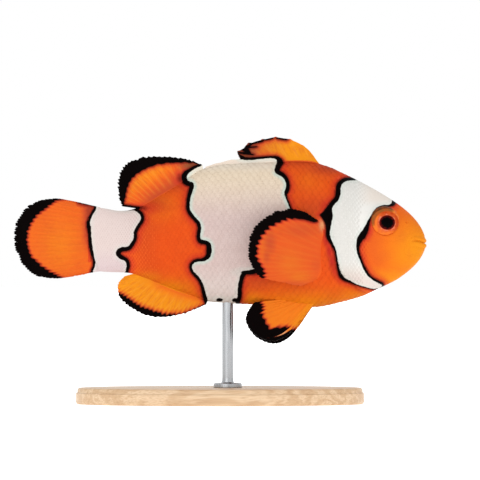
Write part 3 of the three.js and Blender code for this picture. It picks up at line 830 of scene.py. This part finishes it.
def eye_material():
    """A black pupil with a maroon edge in a broken pale ring. The iris is brown-orange, olive above and
    behind, and passes into the colour of the face below; its outer ring is painted lighter, as painted
    light against the shade at the socket's rim."""
    shader = Shader("fish_eye", Roughness=0.15, Specular_IOR_Level=GLOSS)
    radius, brow, flush = shader.facts("iris")
    mottle = shader.noise(0.7, 3)
    wander = shader.times(shader.math("SUBTRACT", shader.noise(0.5, 2), 0.5), 0.9)
    ragged = shader.math("ADD", radius, wander)
    ring = shader.over(colour(230, 120, 86), colour(200, 76, 40), mottle, 0.42, 0.56)
    inner = shader.over(colour(226, 106, 50), colour(202, 76, 32), flush, -0.6, 0.3)
    outer = shader.over(colour(240, 120, 44), colour(190, 66, 20), flush, -0.5, 0.5)
    iris = shader.over(ring, inner, ragged, PUPIL + 0.1, PUPIL + 0.3)
    iris = shader.over(iris, outer, radius, 1.8, 2.1)
    # Painted light: the iris's outer ring is lighter, against the shade at the rim of the eye's socket.
    iris = shader.over(iris, colour(248, 130, 44), radius, 2.2, 2.5)
    olive = shader.over(colour(186, 74, 30), colour(146, 86, 40), radius, 2.25, 2.5)
    olive = shader.over(olive, colour(84, 48, 24), radius, 2.8, 2.92)
    flecks = shader.ease(mottle, 0.45, 0.6, 0.5)
    iris = shader.mix(flecks, iris, colour(212, 92, 42))
    olive = shader.mix(shader.times(flecks, 0.4), olive, colour(212, 92, 42))
    above = shader.times(shader.ease(brow, 0.1, 0.5, 0.95), shader.ease(radius, 2.1, 2.4))
    pupil = shader.over(colour(2, 1, 2), colour(104, 14, 12), ragged, PUPIL - 0.6, PUPIL + 0.1)
    iris = shader.mix(above, iris, olive)
    return shader.finish(shader.over(iris, pupil, radius, PUPIL + 0.06, PUPIL - 0.06))


def make_eye(side, material):
    """An eyeball as rings round the axis that it looks along, with the iris dished round the pupil."""
    middle, out = eye_frame(side)
    up = np.cross(np.cross(out, [0, 0, 1.0]), out)
    up = up / np.linalg.norm(up)
    forward = np.cross(up, out) * -SIDES[side]
    tilt = np.linspace(0.02, math.pi - 0.02, EYE_RINGS)[:, None]
    turn = (np.arange(EYE_AROUND) * 2 * math.pi / EYE_AROUND)[None, :]
    bulge = 2 / EYE_SQUARENESS
    radius = EYE_RADIUS * np.sin(tilt) ** bulge
    to_front, to_top = radius * np.cos(turn), radius * np.sin(turn)
    from_pupil = np.hypot((to_front - GAZE[0]) / PUPIL_SHAPE[0], (to_top - GAZE[1]) / PUPIL_SHAPE[1])
    dish = np.where(tilt < 1.4, 0.06 * bump_at(from_pupil - PUPIL - 0.3, 0.25), 0)
    height = EYE_DEPTH * np.sign(np.cos(tilt)) * np.abs(np.cos(tilt)) ** bulge - dish
    rings = middle + to_front[..., None] * forward + to_top[..., None] * up + height[..., None] * out
    poles = middle + EYE_DEPTH * out, middle - EYE_DEPTH * out
    points, faces = ring_solid(rings, *poles, flipped=side == "left")
    brow, flush = (np.cos(turn - way) * np.ones_like(tilt) for way in (BROW_TURN, FLUSH_TURN))
    iris = np.stack([from_pupil, brow, flush], -1).reshape(-1, 3)
    facts = {"iris": np.vstack([iris, np.zeros((2, 3))])}
    place(build(f"eyeball_{side}", points, faces, material, facts=facts), "eye", f"eye_{side}")


# ---- fins
# Guiding rays of each fin as (root x, root z, tip x, tip z), from the front or top edge on.
SPINY_DORSAL = [
    (19.4, 46.5, 19.0, 47.0), (18.3, 46.9, 17.0, 49.6), (16.1, 47.1, 14.4, 51.2),
    (13.6, 47.1, 11.2, 51.95), (11.4, 47.0, 8.3, 51.55), (9.4, 46.9, 5.4, 50.6), (7.6, 46.8, 3.2, 48.85),
    (5.4, 46.7, 3.75, 47.75), (2.3, 46.4, 1.2, 47.3), (-2.6, 45.6, -2.9, 46.1),
]
SOFT_DORSAL = [
    (-3.3, 45.5, -3.4, 46.5), (-5.0, 44.7, -6.8, 47.7), (-7.8, 42.7, -11.5, 48.15),
    (-10.5, 41.0, -16.0, 47.75), (-12.6, 39.8, -18.8, 46.1), (-14.2, 38.9, -19.8, 43.4),
    (-15.1, 38.4, -19.6, 40.0), (-15.7, 37.9, -19.1, 38.4),
]
TAIL_FIN = [
    (-24.1, 38.4, -27.6, 39.2), (-24.3, 37.9, -32.6, 39.95), (-24.6, 36.3, -37.2, 38.5),
    (-24.8, 34.2, -39.5, 35.5), (-24.8, 32.0, -40.1, 32.4), (-24.7, 29.9, -39.3, 29.0),
    (-24.3, 28.0, -37.0, 25.6), (-23.9, 26.4, -32.4, 24.35), (-23.7, 25.7, -26.8, 25.2),
]
ANAL_FIN = [
    (-2.3, 20.3, -2.7, 19.3), (-4.5, 20.8, -6.2, 17.8), (-7.4, 21.7, -10.1, 16.9),
    (-10.1, 22.7, -14.0, 17.1), (-12.4, 23.6, -17.3, 18.7), (-14.2, 24.4, -19.6, 20.8),
    (-15.5, 24.9, -19.75, 23.4), (-16.5, 25.4, -18.6, 24.8),
]
PECTORAL_FIN = [
    (19.4, 34.6, 18.8, 35.8), (19.8, 33.0, 15.1, 37.7), (20.0, 31.5, 10.9, 37.4),
    (20.0, 29.9, 7.2, 35.1), (19.9, 28.4, 5.5, 31.6), (19.7, 27.0, 5.5, 28.2), (19.4, 25.8, 7.3, 25.0),
    (18.9, 24.8, 11.3, 23.8), (18.4, 24.1, 15.5, 22.9),
]
PELVIC_FIN = [
    (19.4, 20.9, 16.0, 16.8), (18.6, 20.9, 13.0, 13.4), (17.9, 20.8, 10.1, 12.3),
    (17.3, 20.8, 6.8, 13.5), (16.8, 20.8, 5.05, 16.2), (16.4, 20.8, 5.45, 18.2), (16.0, 20.8, 6.6, 19.8),
]
# Inner borders of the fins' black margins, as (x, z).
SOFT_DORSAL_BORDER = [
    (-3.0, 46.3), (-5.4, 46.8), (-8.0, 46.9), (-11.0, 46.7), (-14.0, 45.9), (-16.1, 44.7), (-17.4, 43.4),
    (-18.0, 42.0), (-18.3, 40.6), (-18.6, 39.2), (-18.7, 37.5),
]
TAIL_BORDER = [
    (-28.0, 40.3), (-30.7, 39.8), (-32.0, 39.4), (-33.6, 38.2), (-35.3, 36.9), (-36.6, 35.2),
    (-37.3, 33.6), (-37.5, 32.0), (-37.3, 30.3), (-36.6, 28.7), (-35.3, 27.4), (-33.8, 26.2),
    (-31.8, 25.1), (-30.0, 24.2), (-28.0, 23.9),
]
ANAL_BORDER = [
    (-21.0, 22.2), (-19.3, 21.4), (-18.2, 20.8), (-17.2, 20.05), (-15.9, 19.2), (-14.2, 18.45),
    (-12.2, 17.85), (-10.7, 17.5), (-9.0, 17.4), (-6.8, 17.65), (-5.0, 18.3), (-3.8, 18.9), (-2.4, 19.6),
]
PECTORAL_BORDER = [
    (19.4, 36.6), (19.0, 35.7), (18.2, 35.25), (16.5, 35.7), (13.6, 36.0), (11.3, 35.3), (9.3, 34.0),
    (7.8, 32.2), (7.1, 30.3), (7.1, 28.4), (7.7, 27.2), (8.3, 26.2), (8.6, 25.3), (8.4, 24.5),
    (7.9, 23.6),
]
PELVIC_BORDER = [
    (6.0, 20.8), (7.8, 19.9), (8.3, 18.4), (8.1, 17.3), (8.6, 16.2), (9.2, 15.1), (10.6, 14.7),
    (12.2, 14.9), (13.4, 14.8), (14.6, 14.3), (16.5, 12.6),
]
# Black leaf-shaped marks along the crest's edge, as (rear x, rear z, front x, front z, half width).
CREST_DASHES = [
    (3.0, 48.9, 6.7, 48.4, 0.22), (4.3, 49.75, 7.2, 49.95, 0.16), (4.5, 49.8, 6.4, 50.5, 0.2),
    (5.6, 50.55, 8.6, 51.15, 0.26), (8.3, 51.3, 10.5, 51.7, 0.24), (10.9, 51.65, 13.2, 51.35, 0.2),
]
# A pale gap in the pelvic fin's black, which narrows to the rear.
PELVIC_SLIT = [(13.8, 14.8), (12.0, 13.6), (10.4, 13.05), (8.4, 12.85)]
# Washes on the fins, as on the body.
SOFT_DORSAL_BY_BAND = (-7.5, 43.8, 2.8, 3.0, 2.4)
SOFT_DORSAL_BROWN = (-5, 46.3, 2.8, 1.0, 0.9)
TAIL_GOLD = (-31, 31, 4, 5, 0.4)
PECTORAL_GOLD = [(13.6, 27.2, 2.6, 3.0, 0.4), (15.2, 24.9, 2.2, 1.4, 0.5), (8.5, 31.5, 1.4, 4, 0.25)]
PECTORAL_DUSK = [
    (15.5, 33.8, 5, 2.4, 0.75), (18.4, 27.0, 1.7, 2.4, 0.6), (9.6, 31.4, 1.6, 3.2, 1.0),
    (14, 23.2, 6, 1.4, 0.8), (9.0, 28.8, 1.0, 2.2, 0.9),
]
# How a paired fin stands off: its slope from the body, and how fast it bends back along its length.
PECTORAL_FLARE, PECTORAL_CURL = 0.4, 0.006
PELVIC_FLARE, PELVIC_CURL = 0.24, 0.004
PECTORAL_SUNK = 0.45  # how deep in the flank its root lies
PECTORAL_MIDDLE_Z, PECTORAL_HALF_HEIGHT = 29.4, 5.3
PECTORAL_CUP = 0.4  # share of the stand-off that the fin's upper and lower edges lose
PECTORAL_RIPPLE = 0.12  # how far its outer part waves
PELVIC_ROOT_Y = 1.5
LEFT_PELVIC_TILT = 0.07  # radians that the left fin is swung forward of the right one
ROOT_BURIED = 0.9  # how far a fin's mesh runs on into the body
POINTS_PER_RAY = 12
FIN_STEPS = 64  # from root to margin


def ray_ridge(phase, share, splits, slim=0.2):
    """Height, 0 to 1, of the rays at a place across them and a share of their length. Rays split in two."""
    off = np.abs(phase - np.floor(phase) - 0.5)
    spread = 0.25
    for start in splits:
        off = np.abs(off - spread * ease(share, start, start + 0.3))
        spread /= 2
    return bump_at(off, slim * (1 - 0.6 * ease(share, 0.0, 1.0)))


class Fan:
    """A fin's points between its guiding rays, as a grid: columns along the rays by steps outwards."""

    def __init__(self, guides, rays, splits, notch, seed):
        random = np.random.default_rng(seed)
        self.u = np.linspace(0, 1, rays * POINTS_PER_RAY + 1)
        root, margin = spline([g[:2] for g in guides])(self.u), spline([g[2:] for g in guides])(self.u)
        length = np.linalg.norm(margin - root, axis=1)
        way = (margin - root) / length[:, None]
        phase = self.u * rays
        # The margin is notched between the rays' tips, and a little ragged.
        tips = ray_ridge(phase, np.ones_like(phase), splits, 0.3)
        ragged = np.interp(phase * 4, np.arange(rays * 4 + 1), random.normal(0, 0.35, rays * 4 + 1))
        length = (length - notch * (1 - tips - ragged) * np.minimum(1, length / 3))[:, None]
        self.share = np.concatenate([[0, 0.5], 1 + np.linspace(0, 1, FIN_STEPS) ** 0.9])
        self.along = np.where(self.share < 1, -ROOT_BURIED * (1 - self.share), (self.share - 1) * length)
        self.reach = np.clip(self.along / length, 0, 1)
        self.root_x, self.root_z = root[:, :1], root[:, 1:]
        self.x = self.root_x + way[:, :1] * self.along
        self.z = self.root_z + way[:, 1:] * self.along
        self.phase = phase[:, None] + 0 * self.along
        self.ridge = ray_ridge(self.phase, self.reach, splits)
        self.to_edge = length - self.along

    def off(self, line):
        """Each point's distance from a line and the place along it, as measure gives them."""
        return [found.reshape(self.x.shape) for found in measure(line, self.x.ravel(), self.z.ravel())]

    def washed(self, *washes):
        return washed(self.x, self.z, washes)

    def off_edge(self, column):
        """Each point's distance from the first or last column."""
        return np.abs(self.off(np.stack([self.x[column], self.z[column]], -1))[0])


def black_margin(fan, border, tooth, teeth_per_ray):
    """Distance into the black beyond a border line, which uneven orange teeth reach across."""
    beyond, _ = fan.off(drawn(border))
    at = fan.phase * teeth_per_ray
    size = np.random.default_rng(len(border)).uniform(0.5, 1.3, int(at.max()) + 2)
    wave = (0.5 - 0.5 * np.cos(2 * math.pi * at)) * size[at.astype(int)]
    return np.sign(beyond[len(fan.u) // 2, -1]) * beyond - tooth * (wave - 0.4)


def fin_facts(fan, bands, black, gold, dusk, blend, brown=None):
    """The shader's facts for a fin: the bands that run onto it, its black margin and its own tones, which
    take over from the body's with distance from the root. The shader takes brown from a coolness over 1
    in the orange."""
    x, z = fan.x.ravel(), fan.z.ravel()
    if bands:
        facts = coat_facts(np.stack([x, 0 * x, z], -1), bands)
    else:
        facts = {"marks": np.tile([-BAND_FAR, -BAND_FAR, 0.0], (len(x), 1)), "tones": np.zeros((len(x), 3))}
        facts["tones"][:, 2] = -washed(x, z, PAINTED_HIGHLIGHT_WASHES)
    white, ink = facts["marks"][:, 0], facts["marks"][:, 1]
    facts["marks"][:, 1] = np.where(white < 0, np.maximum(ink, black.ravel()), ink)
    share = ease(fan.along, 0, blend)
    for column, own, washes in ((0, gold, GOLD_AND_PAINTED_LIGHT_WASHES), (1, dusk, DUSK_AND_PAINTED_SHADE_WASHES)):
        body = washed(fan.root_x, fan.root_z, washes)
        facts["tones"][:, column] = (body + (own - body) * share).ravel()
    if brown is not None:
        facts["marks"][:, 2] = np.where(white > TINT_TURNS, facts["marks"][:, 2], 1 + brown.ravel())
    facts["rays"] = np.stack([fan.phase, fan.along, fan.ridge], -1).reshape(-1, 3)
    return facts


def fin_mesh(kind, which, fan, facts, material, root_half, y=None, ray_height=0.13, jointed=True):
    """A fin as a thin closed plate with rays standing out of both faces, at y across the body."""
    if y is None:
        y = 0.12 * np.sin(fan.x * 0.9 + fan.z * 0.35) * ease(fan.along, 0.5, 6)
    centre = np.stack([fan.x, y, fan.z], -1)
    normal = np.cross(np.gradient(centre, axis=0), np.gradient(centre, axis=1))
    normal = normal / np.maximum(np.linalg.norm(normal, axis=-1, keepdims=True), 1e-9)
    general = normal.mean((0, 1))
    normal = np.where((normal @ general)[..., None] > 0, normal, general / np.linalg.norm(general))
    ends = (0.2 + 0.8 * ease(fan.u, 0, 0.16) * ease(fan.u, 1, 0.84))[:, None]
    web = root_half * ends * np.exp(-np.maximum(fan.along, 0) / 1.1) + 0.1 + 0.08 * (1 - fan.reach)
    web = web * (0.15 + 0.85 * ease(fan.along, -ROOT_BURIED, 0.3))
    ray = ray_height * (1 - 0.6 * fan.reach) * fan.ridge * ease(fan.along, 0.3, 3.0)
    joints = 1 + (0.12 * np.sin(fan.along * 14) if jointed else 0)
    half = normal * (web + ray * joints)[..., None]
    points = np.vstack([(centre + half).reshape(-1, 3), (centre - half).reshape(-1, 3)])

    rows, across = fan.x.shape
    face = grid_quads(rows, across)
    number = np.arange(rows * across).reshape(rows, across)
    rim = np.concatenate([number[0], number[1:, -1], number[-1, -2::-1], number[-2:0:-1, 0]])
    after = np.roll(rim, -1)
    edge = np.stack([rim, rim + number.size, after + number.size, after], -1)
    quads = np.vstack([face, face[:, ::-1] + number.size, edge])
    facts = {key: np.vstack([value, value]) for key, value in facts.items()}
    uv = np.stack([np.repeat(fan.u, across), np.tile(fan.share / 2, rows)], -1) * [0.47, 0.96]
    uv = np.vstack([uv + [0.015, 0.02], uv + [0.515, 0.02]])
    piece = build(f"fin_{kind}{which}", points, [quads], material, uv, facts, sharp=70)
    place(piece, "fin", f"{kind}_fin{which}")


def fin_material(name, streaks, blush):
    """Translucent-looking webs with streaks along the rays, as strong as given."""
    shader = Shader(name, Specular_IOR_Level=GLOSS)
    phase, along, ridge = shader.facts("rays")
    down_ray = shader.node("ShaderNodeCombineXYZ", {0: phase, 1: shader.times(along, 0.12)})
    streak = shader.node("ShaderNodeTexNoise", {"Vector": down_ray, "Scale": 5.0, "Detail": 3.0}, "Fac")
    out = shader.ease(along, 0.2, 2.0)

    def streaked(orange):
        orange = shader.mix(shader.times(shader.ease(streak, 0.42, 0.75, streaks), out), orange, DUSK)
        light = shader.times(shader.times(ridge, 0.4 * streaks), out)
        return shader.mix(light, orange, colour(255, 180, 70))

    normal = shader.bump(streak, 0.02, shader.bump(shader.noise(0.25, 3), 0.02))
    return shader.finish(fish_colour(shader, blush, streaked), (streak, -0.5, 1.3, 0.85), normal)


def make_spiny_dorsal(material):
    """Golden in front, with black marks along the edge and brown, streaked with black, behind."""
    fan = Fan(SPINY_DORSAL, rays=10, splits=(), notch=0.22, seed=1)
    streak = ease(fan.x, 8.4, 5.0) * ease(fan.x, 2.4, 3.2) * ease(fan.z, 47.2, 48.0)
    off_web = 0.5 - np.abs(fan.phase % 1 - 0.5)
    black = np.maximum(-2.0, 2.0 * (streak * 0.24 - off_web) - 1.5 * (1 - streak))
    for rear_x, rear_z, front_x, front_z, half in CREST_DASHES:
        off, along = fan.off(np.array([(rear_x, rear_z), (front_x, front_z)]))
        black = np.maximum(black, 2 * half * np.sqrt(along * (1 - along)) - np.abs(off))
    gold = 0.95 * ease(fan.x, 2, 11) * ease(fan.along, -0.2, 0.4)
    dusk = np.maximum(0.6 * ease(fan.x, 14, 5.5), 0.4 * ease(fan.along, 1.6, 0.2) * ease(fan.x, 15, 9))
    brown = np.maximum(0.9 * ease(fan.x, 9.5, 4.5), 0.15 * ease(fan.x, 13, 11))
    facts = fin_facts(fan, ("middle",), black, gold, dusk, 0.3, brown)
    # The band turns creamy on the crest, a little lilac and less cool than elsewhere: painted shade that
    # tones down the light its upright face catches beside the body's top.
    in_white = facts["marks"][:, 0] > TINT_TURNS
    facts["tones"][in_white, 2] = 0.15
    facts["marks"][in_white, 2] = 0.06
    fin_mesh("dorsal", "_spiny", fan, facts, material, root_half=0.8, ray_height=0.16, jointed=False)


def make_soft_dorsal(material):
    """Orange with a wide black margin, dark by the band and brown at the front tip."""
    fan = Fan(SOFT_DORSAL, rays=16, splits=(0.45,), notch=0.24, seed=2)
    margin = black_margin(fan, SOFT_DORSAL_BORDER, 0.15, 1)
    front_tip = 0.1 - 0.5 * np.hypot((fan.x + 4.4) / 1.4, (fan.z - 46.3) / 0.5)
    by_band = fan.washed(SOFT_DORSAL_BY_BAND) - 2.45
    black = np.maximum.reduce([margin, 0.4 - fan.off_edge(-1), by_band, front_tip])
    gold = 0.58 * ease(fan.along, 1.6, 5.0) * ease(fan.x, -5, -14) + 0.02
    # Dusky at the root, except at the rear: partly the fin's own dusky base and partly painted shade of the
    # crease where it meets the body.
    dusk = ease(fan.along, 3.4, 0.2) * ease(fan.x, -17, -13) + 0.55 * ease(fan.x, -10, -5)
    facts = fin_facts(fan, ("middle",), black, gold, dusk, 0.3, fan.washed(SOFT_DORSAL_BROWN))
    fin_mesh("dorsal", "_soft", fan, facts, material, root_half=0.8)


def make_anal(material):
    """Golden, with a narrow black margin that thins out to the front."""
    fan = Fan(ANAL_FIN, rays=14, splits=(0.45,), notch=0.14, seed=3)
    front_edge = 0.16 - fan.to_edge - 2 * ease(fan.x, -5, -7)
    black = np.maximum(black_margin(fan, ANAL_BORDER, 0.3, 2), front_edge)
    gold = 0.95 * np.maximum(ease(fan.along, -1.0, 2.6), ease(fan.x, -9, -15))
    # Painted shade: a little dusk at the root, except at the rear, for the crease where the fin meets the
    # belly.
    dusk = 0.1 * ease(fan.along, 1.2, 0) * ease(fan.x, -16, -12)
    facts = fin_facts(fan, ("middle",), black, gold, dusk, 0.2)
    fin_mesh("anal", "", fan, facts, material, root_half=0.8)


def make_tail(material):
    """Orange with a black margin, and dark at the upper root, where the band's line runs onto it."""
    fan = Fan(TAIL_FIN, rays=15, splits=(0.3, 0.6), notch=0.4, seed=4)
    margin = black_margin(fan, TAIL_BORDER, 0.26, 2)
    upper_root = 0.35 * ease(fan.x, -27.2, -25.2) * ease(fan.z, 28, 33) - 0.6
    black = np.maximum.reduce([margin, 0.05 - 0.6 * fan.off_edge(0), upper_root])
    shade = 0.95 * ease(fan.x, -27.6, -25.4) * ease(fan.z, 28.5, 34)
    brown = np.maximum(0.4 * shade, 0.2 * ease(fan.z, 37.6, 38.8) * ease(fan.x, -33, -29))
    facts = fin_facts(fan, ("tail",), black, 0.2 + fan.washed(TAIL_GOLD), shade, 0.1, brown)
    fin_mesh("tail", "", fan, facts, material, root_half=0.75)


def make_pectoral(side, material):
    """A cupped fan off the flank, with a wide black margin."""
    fan = Fan(PECTORAL_FIN, rays=13, splits=(0.4, 0.7), notch=0.45, seed=5)
    black = black_margin(fan, PECTORAL_BORDER, 0.45 * ease(fan.x, 17, 12), 2)
    inner_arc = 0.55 * bump_at(black + 2.0, 0.75) * ease(fan.z, 25.5, 28) * ease(fan.z, 36, 34)
    # The dusk of at least 0.42 all over is partly the fin's own dusky orange and partly painted shade,
    # toning down the stronger light that its open face catches.
    dusk = np.maximum(np.maximum(fan.washed(*PECTORAL_DUSK), inner_arc), 0.42)
    facts = fin_facts(fan, (), black, fan.washed(*PECTORAL_GOLD), dusk, 0.5)
    off_middle = (fan.root_z - PECTORAL_MIDDLE_Z) / PECTORAL_HALF_HEIGHT
    off = (PECTORAL_FLARE * fan.along - PECTORAL_CURL * fan.along**2) * (1 - PECTORAL_CUP * off_middle**2)
    off += PECTORAL_RIPPLE * np.sin(2.4 * fan.root_z) * ease(fan.along, 2, 9)
    y = SIDES[side] * (flank_y(fan.root_x, fan.root_z) - PECTORAL_SUNK + off)
    fin_mesh("pectoral", f"_{side}", fan, facts, material, root_half=0.45, y=y, ray_height=0.03)


def tilted(guides, tilt):
    """Guiding rays whose tips are swung about the first ray's root."""
    px, pz = guides[0][:2]
    across, down = math.cos(tilt), math.sin(tilt)
    return [
        (x, z, px + (tx - px) * across + (tz - pz) * down, pz - (tx - px) * down + (tz - pz) * across)
        for x, z, tx, tz in guides
    ]


def make_pelvic(side, material):
    """A fan below the belly whose black has a pale slit near its front tip."""
    guides = tilted(PELVIC_FIN, -LEFT_PELVIC_TILT) if side == "left" else PELVIC_FIN
    fan = Fan(guides, rays=6, splits=(0.2, 0.45), notch=0.16, seed=6)
    slit = drawn(PELVIC_SLIT)
    off, along = fan.off(slit)
    off_slit = np.abs(off) - 0.28 * (1 - along / (len(slit) - 1)) ** 2
    black = np.minimum(black_margin(fan, PELVIC_BORDER, 0.5, 2), 6 * off_slit)
    facts = fin_facts(fan, (), black, 0.45 + 0.4 * ease(fan.phase, 2.5, 0.5), 0.0, 0.5)
    facts["tones"][:, 2] -= 0.7 * (ease(off_slit, 0.05, -0.05) * ease(fan.x, 13.4, 12.4)).ravel()
    y = SIDES[side] * (PELVIC_ROOT_Y + PELVIC_FLARE * fan.along - PELVIC_CURL * fan.along**2)
    fin_mesh("pelvic", f"_{side}", fan, facts, material, root_half=0.5, y=y)


def make_fins():
    median = fin_material("fish_fins", 0.4, 1.2)
    make_spiny_dorsal(median)
    make_soft_dorsal(median)
    make_anal(median)
    fine = fin_material("fish_fins_fine", 0.1, 0.9)
    make_tail(fine)
    for side in SIDES:
        make_pectoral(side, fine)
        make_pelvic(side, fine)


# ---- stand
def lathe(name, profile, material, stretch=(0, 0), around=160, middle=(0, 0)):
    """A closed solid of oval rings from a profile of (r, z), whose half lengths are the stretch plus r."""
    turn = np.arange(around) * 2 * math.pi / around
    r, z = (np.array(column)[:, None] for column in zip(*profile))
    x = middle[0] + (stretch[0] + r) * np.cos(turn)
    y = middle[1] + (stretch[1] + r) * np.sin(turn)
    ends = [*middle, profile[0][1]], [*middle, profile[-1][1]]
    points, faces = ring_solid(np.stack([x, y, z + 0 * x], -1), *ends)
    return build(name, points, faces, material, sharp=35)


def arc(centre, radius, start, end, steps=6):
    """Points of an arc as (r, z), from one angle to another in degrees."""
    turn = np.radians(np.linspace(start, end, steps))
    return [(centre[0] + radius * math.cos(t), centre[1] + radius * math.sin(t)) for t in turn]


def wood_material():
    shader = Shader("stand_maple", IOR=1.5, Coat_Weight=0.25, Coat_Roughness=0.2)
    rings = shader.noise(3.2, 3, (0.12, 1, 0.8))
    grain = shader.noise(0.22, 4, (0.04, 1, 1))
    wave = shader.math("SINE", shader.times(rings, 38.0))
    base = shader.over(colour(214, 178, 136), colour(232, 201, 162), wave, -1, 1)
    base = shader.over(base, colour(184, 142, 100), grain, 0.4, 0.75, 0.6)
    return shader.finish(base, (grain, -0.6, 1.2, 0.7), shader.bump(grain, 0.03))


def steel_material():
    shader = Shader("stand_steel", Metallic=1.0)
    brushed = shader.noise(0.12, 3, (1, 1, 0.04))
    base = shader.mix(brushed, colour(150, 152, 155), colour(206, 208, 210))
    return shader.finish(base, (brushed, -0.4, 1.6, 0.62), shader.bump(brushed, 0.012))


def make_plinth():
    """An oval base with a softened foot, and a small step under its rounded top edge."""
    low, high = cad_box("stand_base")
    top = high[2]
    profile = [(-0.5, 0.0), (-0.3, 0.06), (-0.12, 0.22), (0, 0.5), (0, top - 1.1)]
    profile += [(-0.22, top - 1.0), (-0.3, top - 0.85), *arc((-0.85, top - 0.55), 0.55, 0, 90)]
    plinth = lathe("stand_plinth", profile, wood_material(), stretch=(high - low)[:2] / 2)
    place(plinth, "base_wood", "stand_base")


def make_pin():
    """A round pin in a low collar."""
    rod = 1.1
    low, high = cad_box("stand_rod")
    bottom, head, foot = low[2], high[2], (high - low)[0] / 2
    profile = [(foot - 0.1, bottom), (foot, bottom + 0.1), (foot, bottom + 0.45)]
    profile += arc((foot - 0.3, bottom + 0.6), 0.3, 0, 90)
    profile += [(rod + 0.35, bottom + 0.9), (rod + 0.1, bottom + 1.05), (rod, bottom + 1.35)]
    profile += [(rod, z) for z in np.linspace(bottom + 2, head - 0.3, 12)] + [(rod - 0.25, head)]
    pin = lathe("stand_pin", profile, steel_material(), around=64, middle=(low + high)[:2] / 2)
    place(pin, "rod_steel", "stand_rod")


# ---- studio
VIEW_WIDTH = 93.2  # shown at the fish
LOOK_AT = (3.88, 31.85)  # x and z
LENS = 400.0
SENSOR = 36.0
# Soft lamps: the way to each, its spread in degrees and its strength.
LAMPS = {"key": ((-0.4, -0.9, 0.3), 50, 0.65), "fill": ((0.7, -0.6, 0.05), 70, 0.25)}
FLOOR_RADIUS = 2500
FLOOR_GLOW = 0.6


def make_studio():
    """A pale floor in white surroundings, two soft lamps and the photo's camera."""
    scene = bpy.context.scene
    scene.view_settings.view_transform = "Standard"
    scene.world = bpy.data.worlds.new("studio")
    scene.world.use_nodes = True
    scene.world.node_tree.nodes["Background"].inputs["Color"].default_value = (1, 1, 1, 1)

    glow = {"Emission_Color": (1, 1, 1, 1), "Emission_Strength": FLOOR_GLOW}
    shader = Shader("studio_floor", Roughness=0.9, **glow)
    cloudy = shader.mix(shader.noise(80, 2), (0.94, 0.94, 0.94, 1), (0.97, 0.97, 0.97, 1))
    profile = [(FLOOR_RADIUS, -1.0), (FLOOR_RADIUS, -0.01)]
    lathe("studio_floor", profile, shader.finish(cloudy), around=128)

    for name, (towards, spread, strength) in LAMPS.items():
        light = bpy.data.lights.new(name, "SUN")
        light.angle = math.radians(spread)
        light.energy = strength
        lamp = in_scene(bpy.data.objects.new(name, light))
        lamp.rotation_euler = (-Vector(towards)).to_track_quat("-Z", "Y").to_euler()

    camera = bpy.data.cameras.new("camera")
    camera.lens, camera.sensor_width = LENS, SENSOR
    camera.clip_start, camera.clip_end = 0.01, 20
    scene.camera = in_scene(bpy.data.objects.new("camera", camera))
    scene.camera.location = (LOOK_AT[0] * MM, -VIEW_WIDTH * LENS / SENSOR * MM, LOOK_AT[1] * MM)
    scene.camera.rotation_euler = (math.pi / 2, 0, 0)


# ---- the model
make_studio()
make_skin(skin_material())
make_coat(scale_material())
eye_look = eye_material()
for eye_side in SIDES:
    make_eye(eye_side, eye_look)
make_fins()
make_plinth()
make_pin()
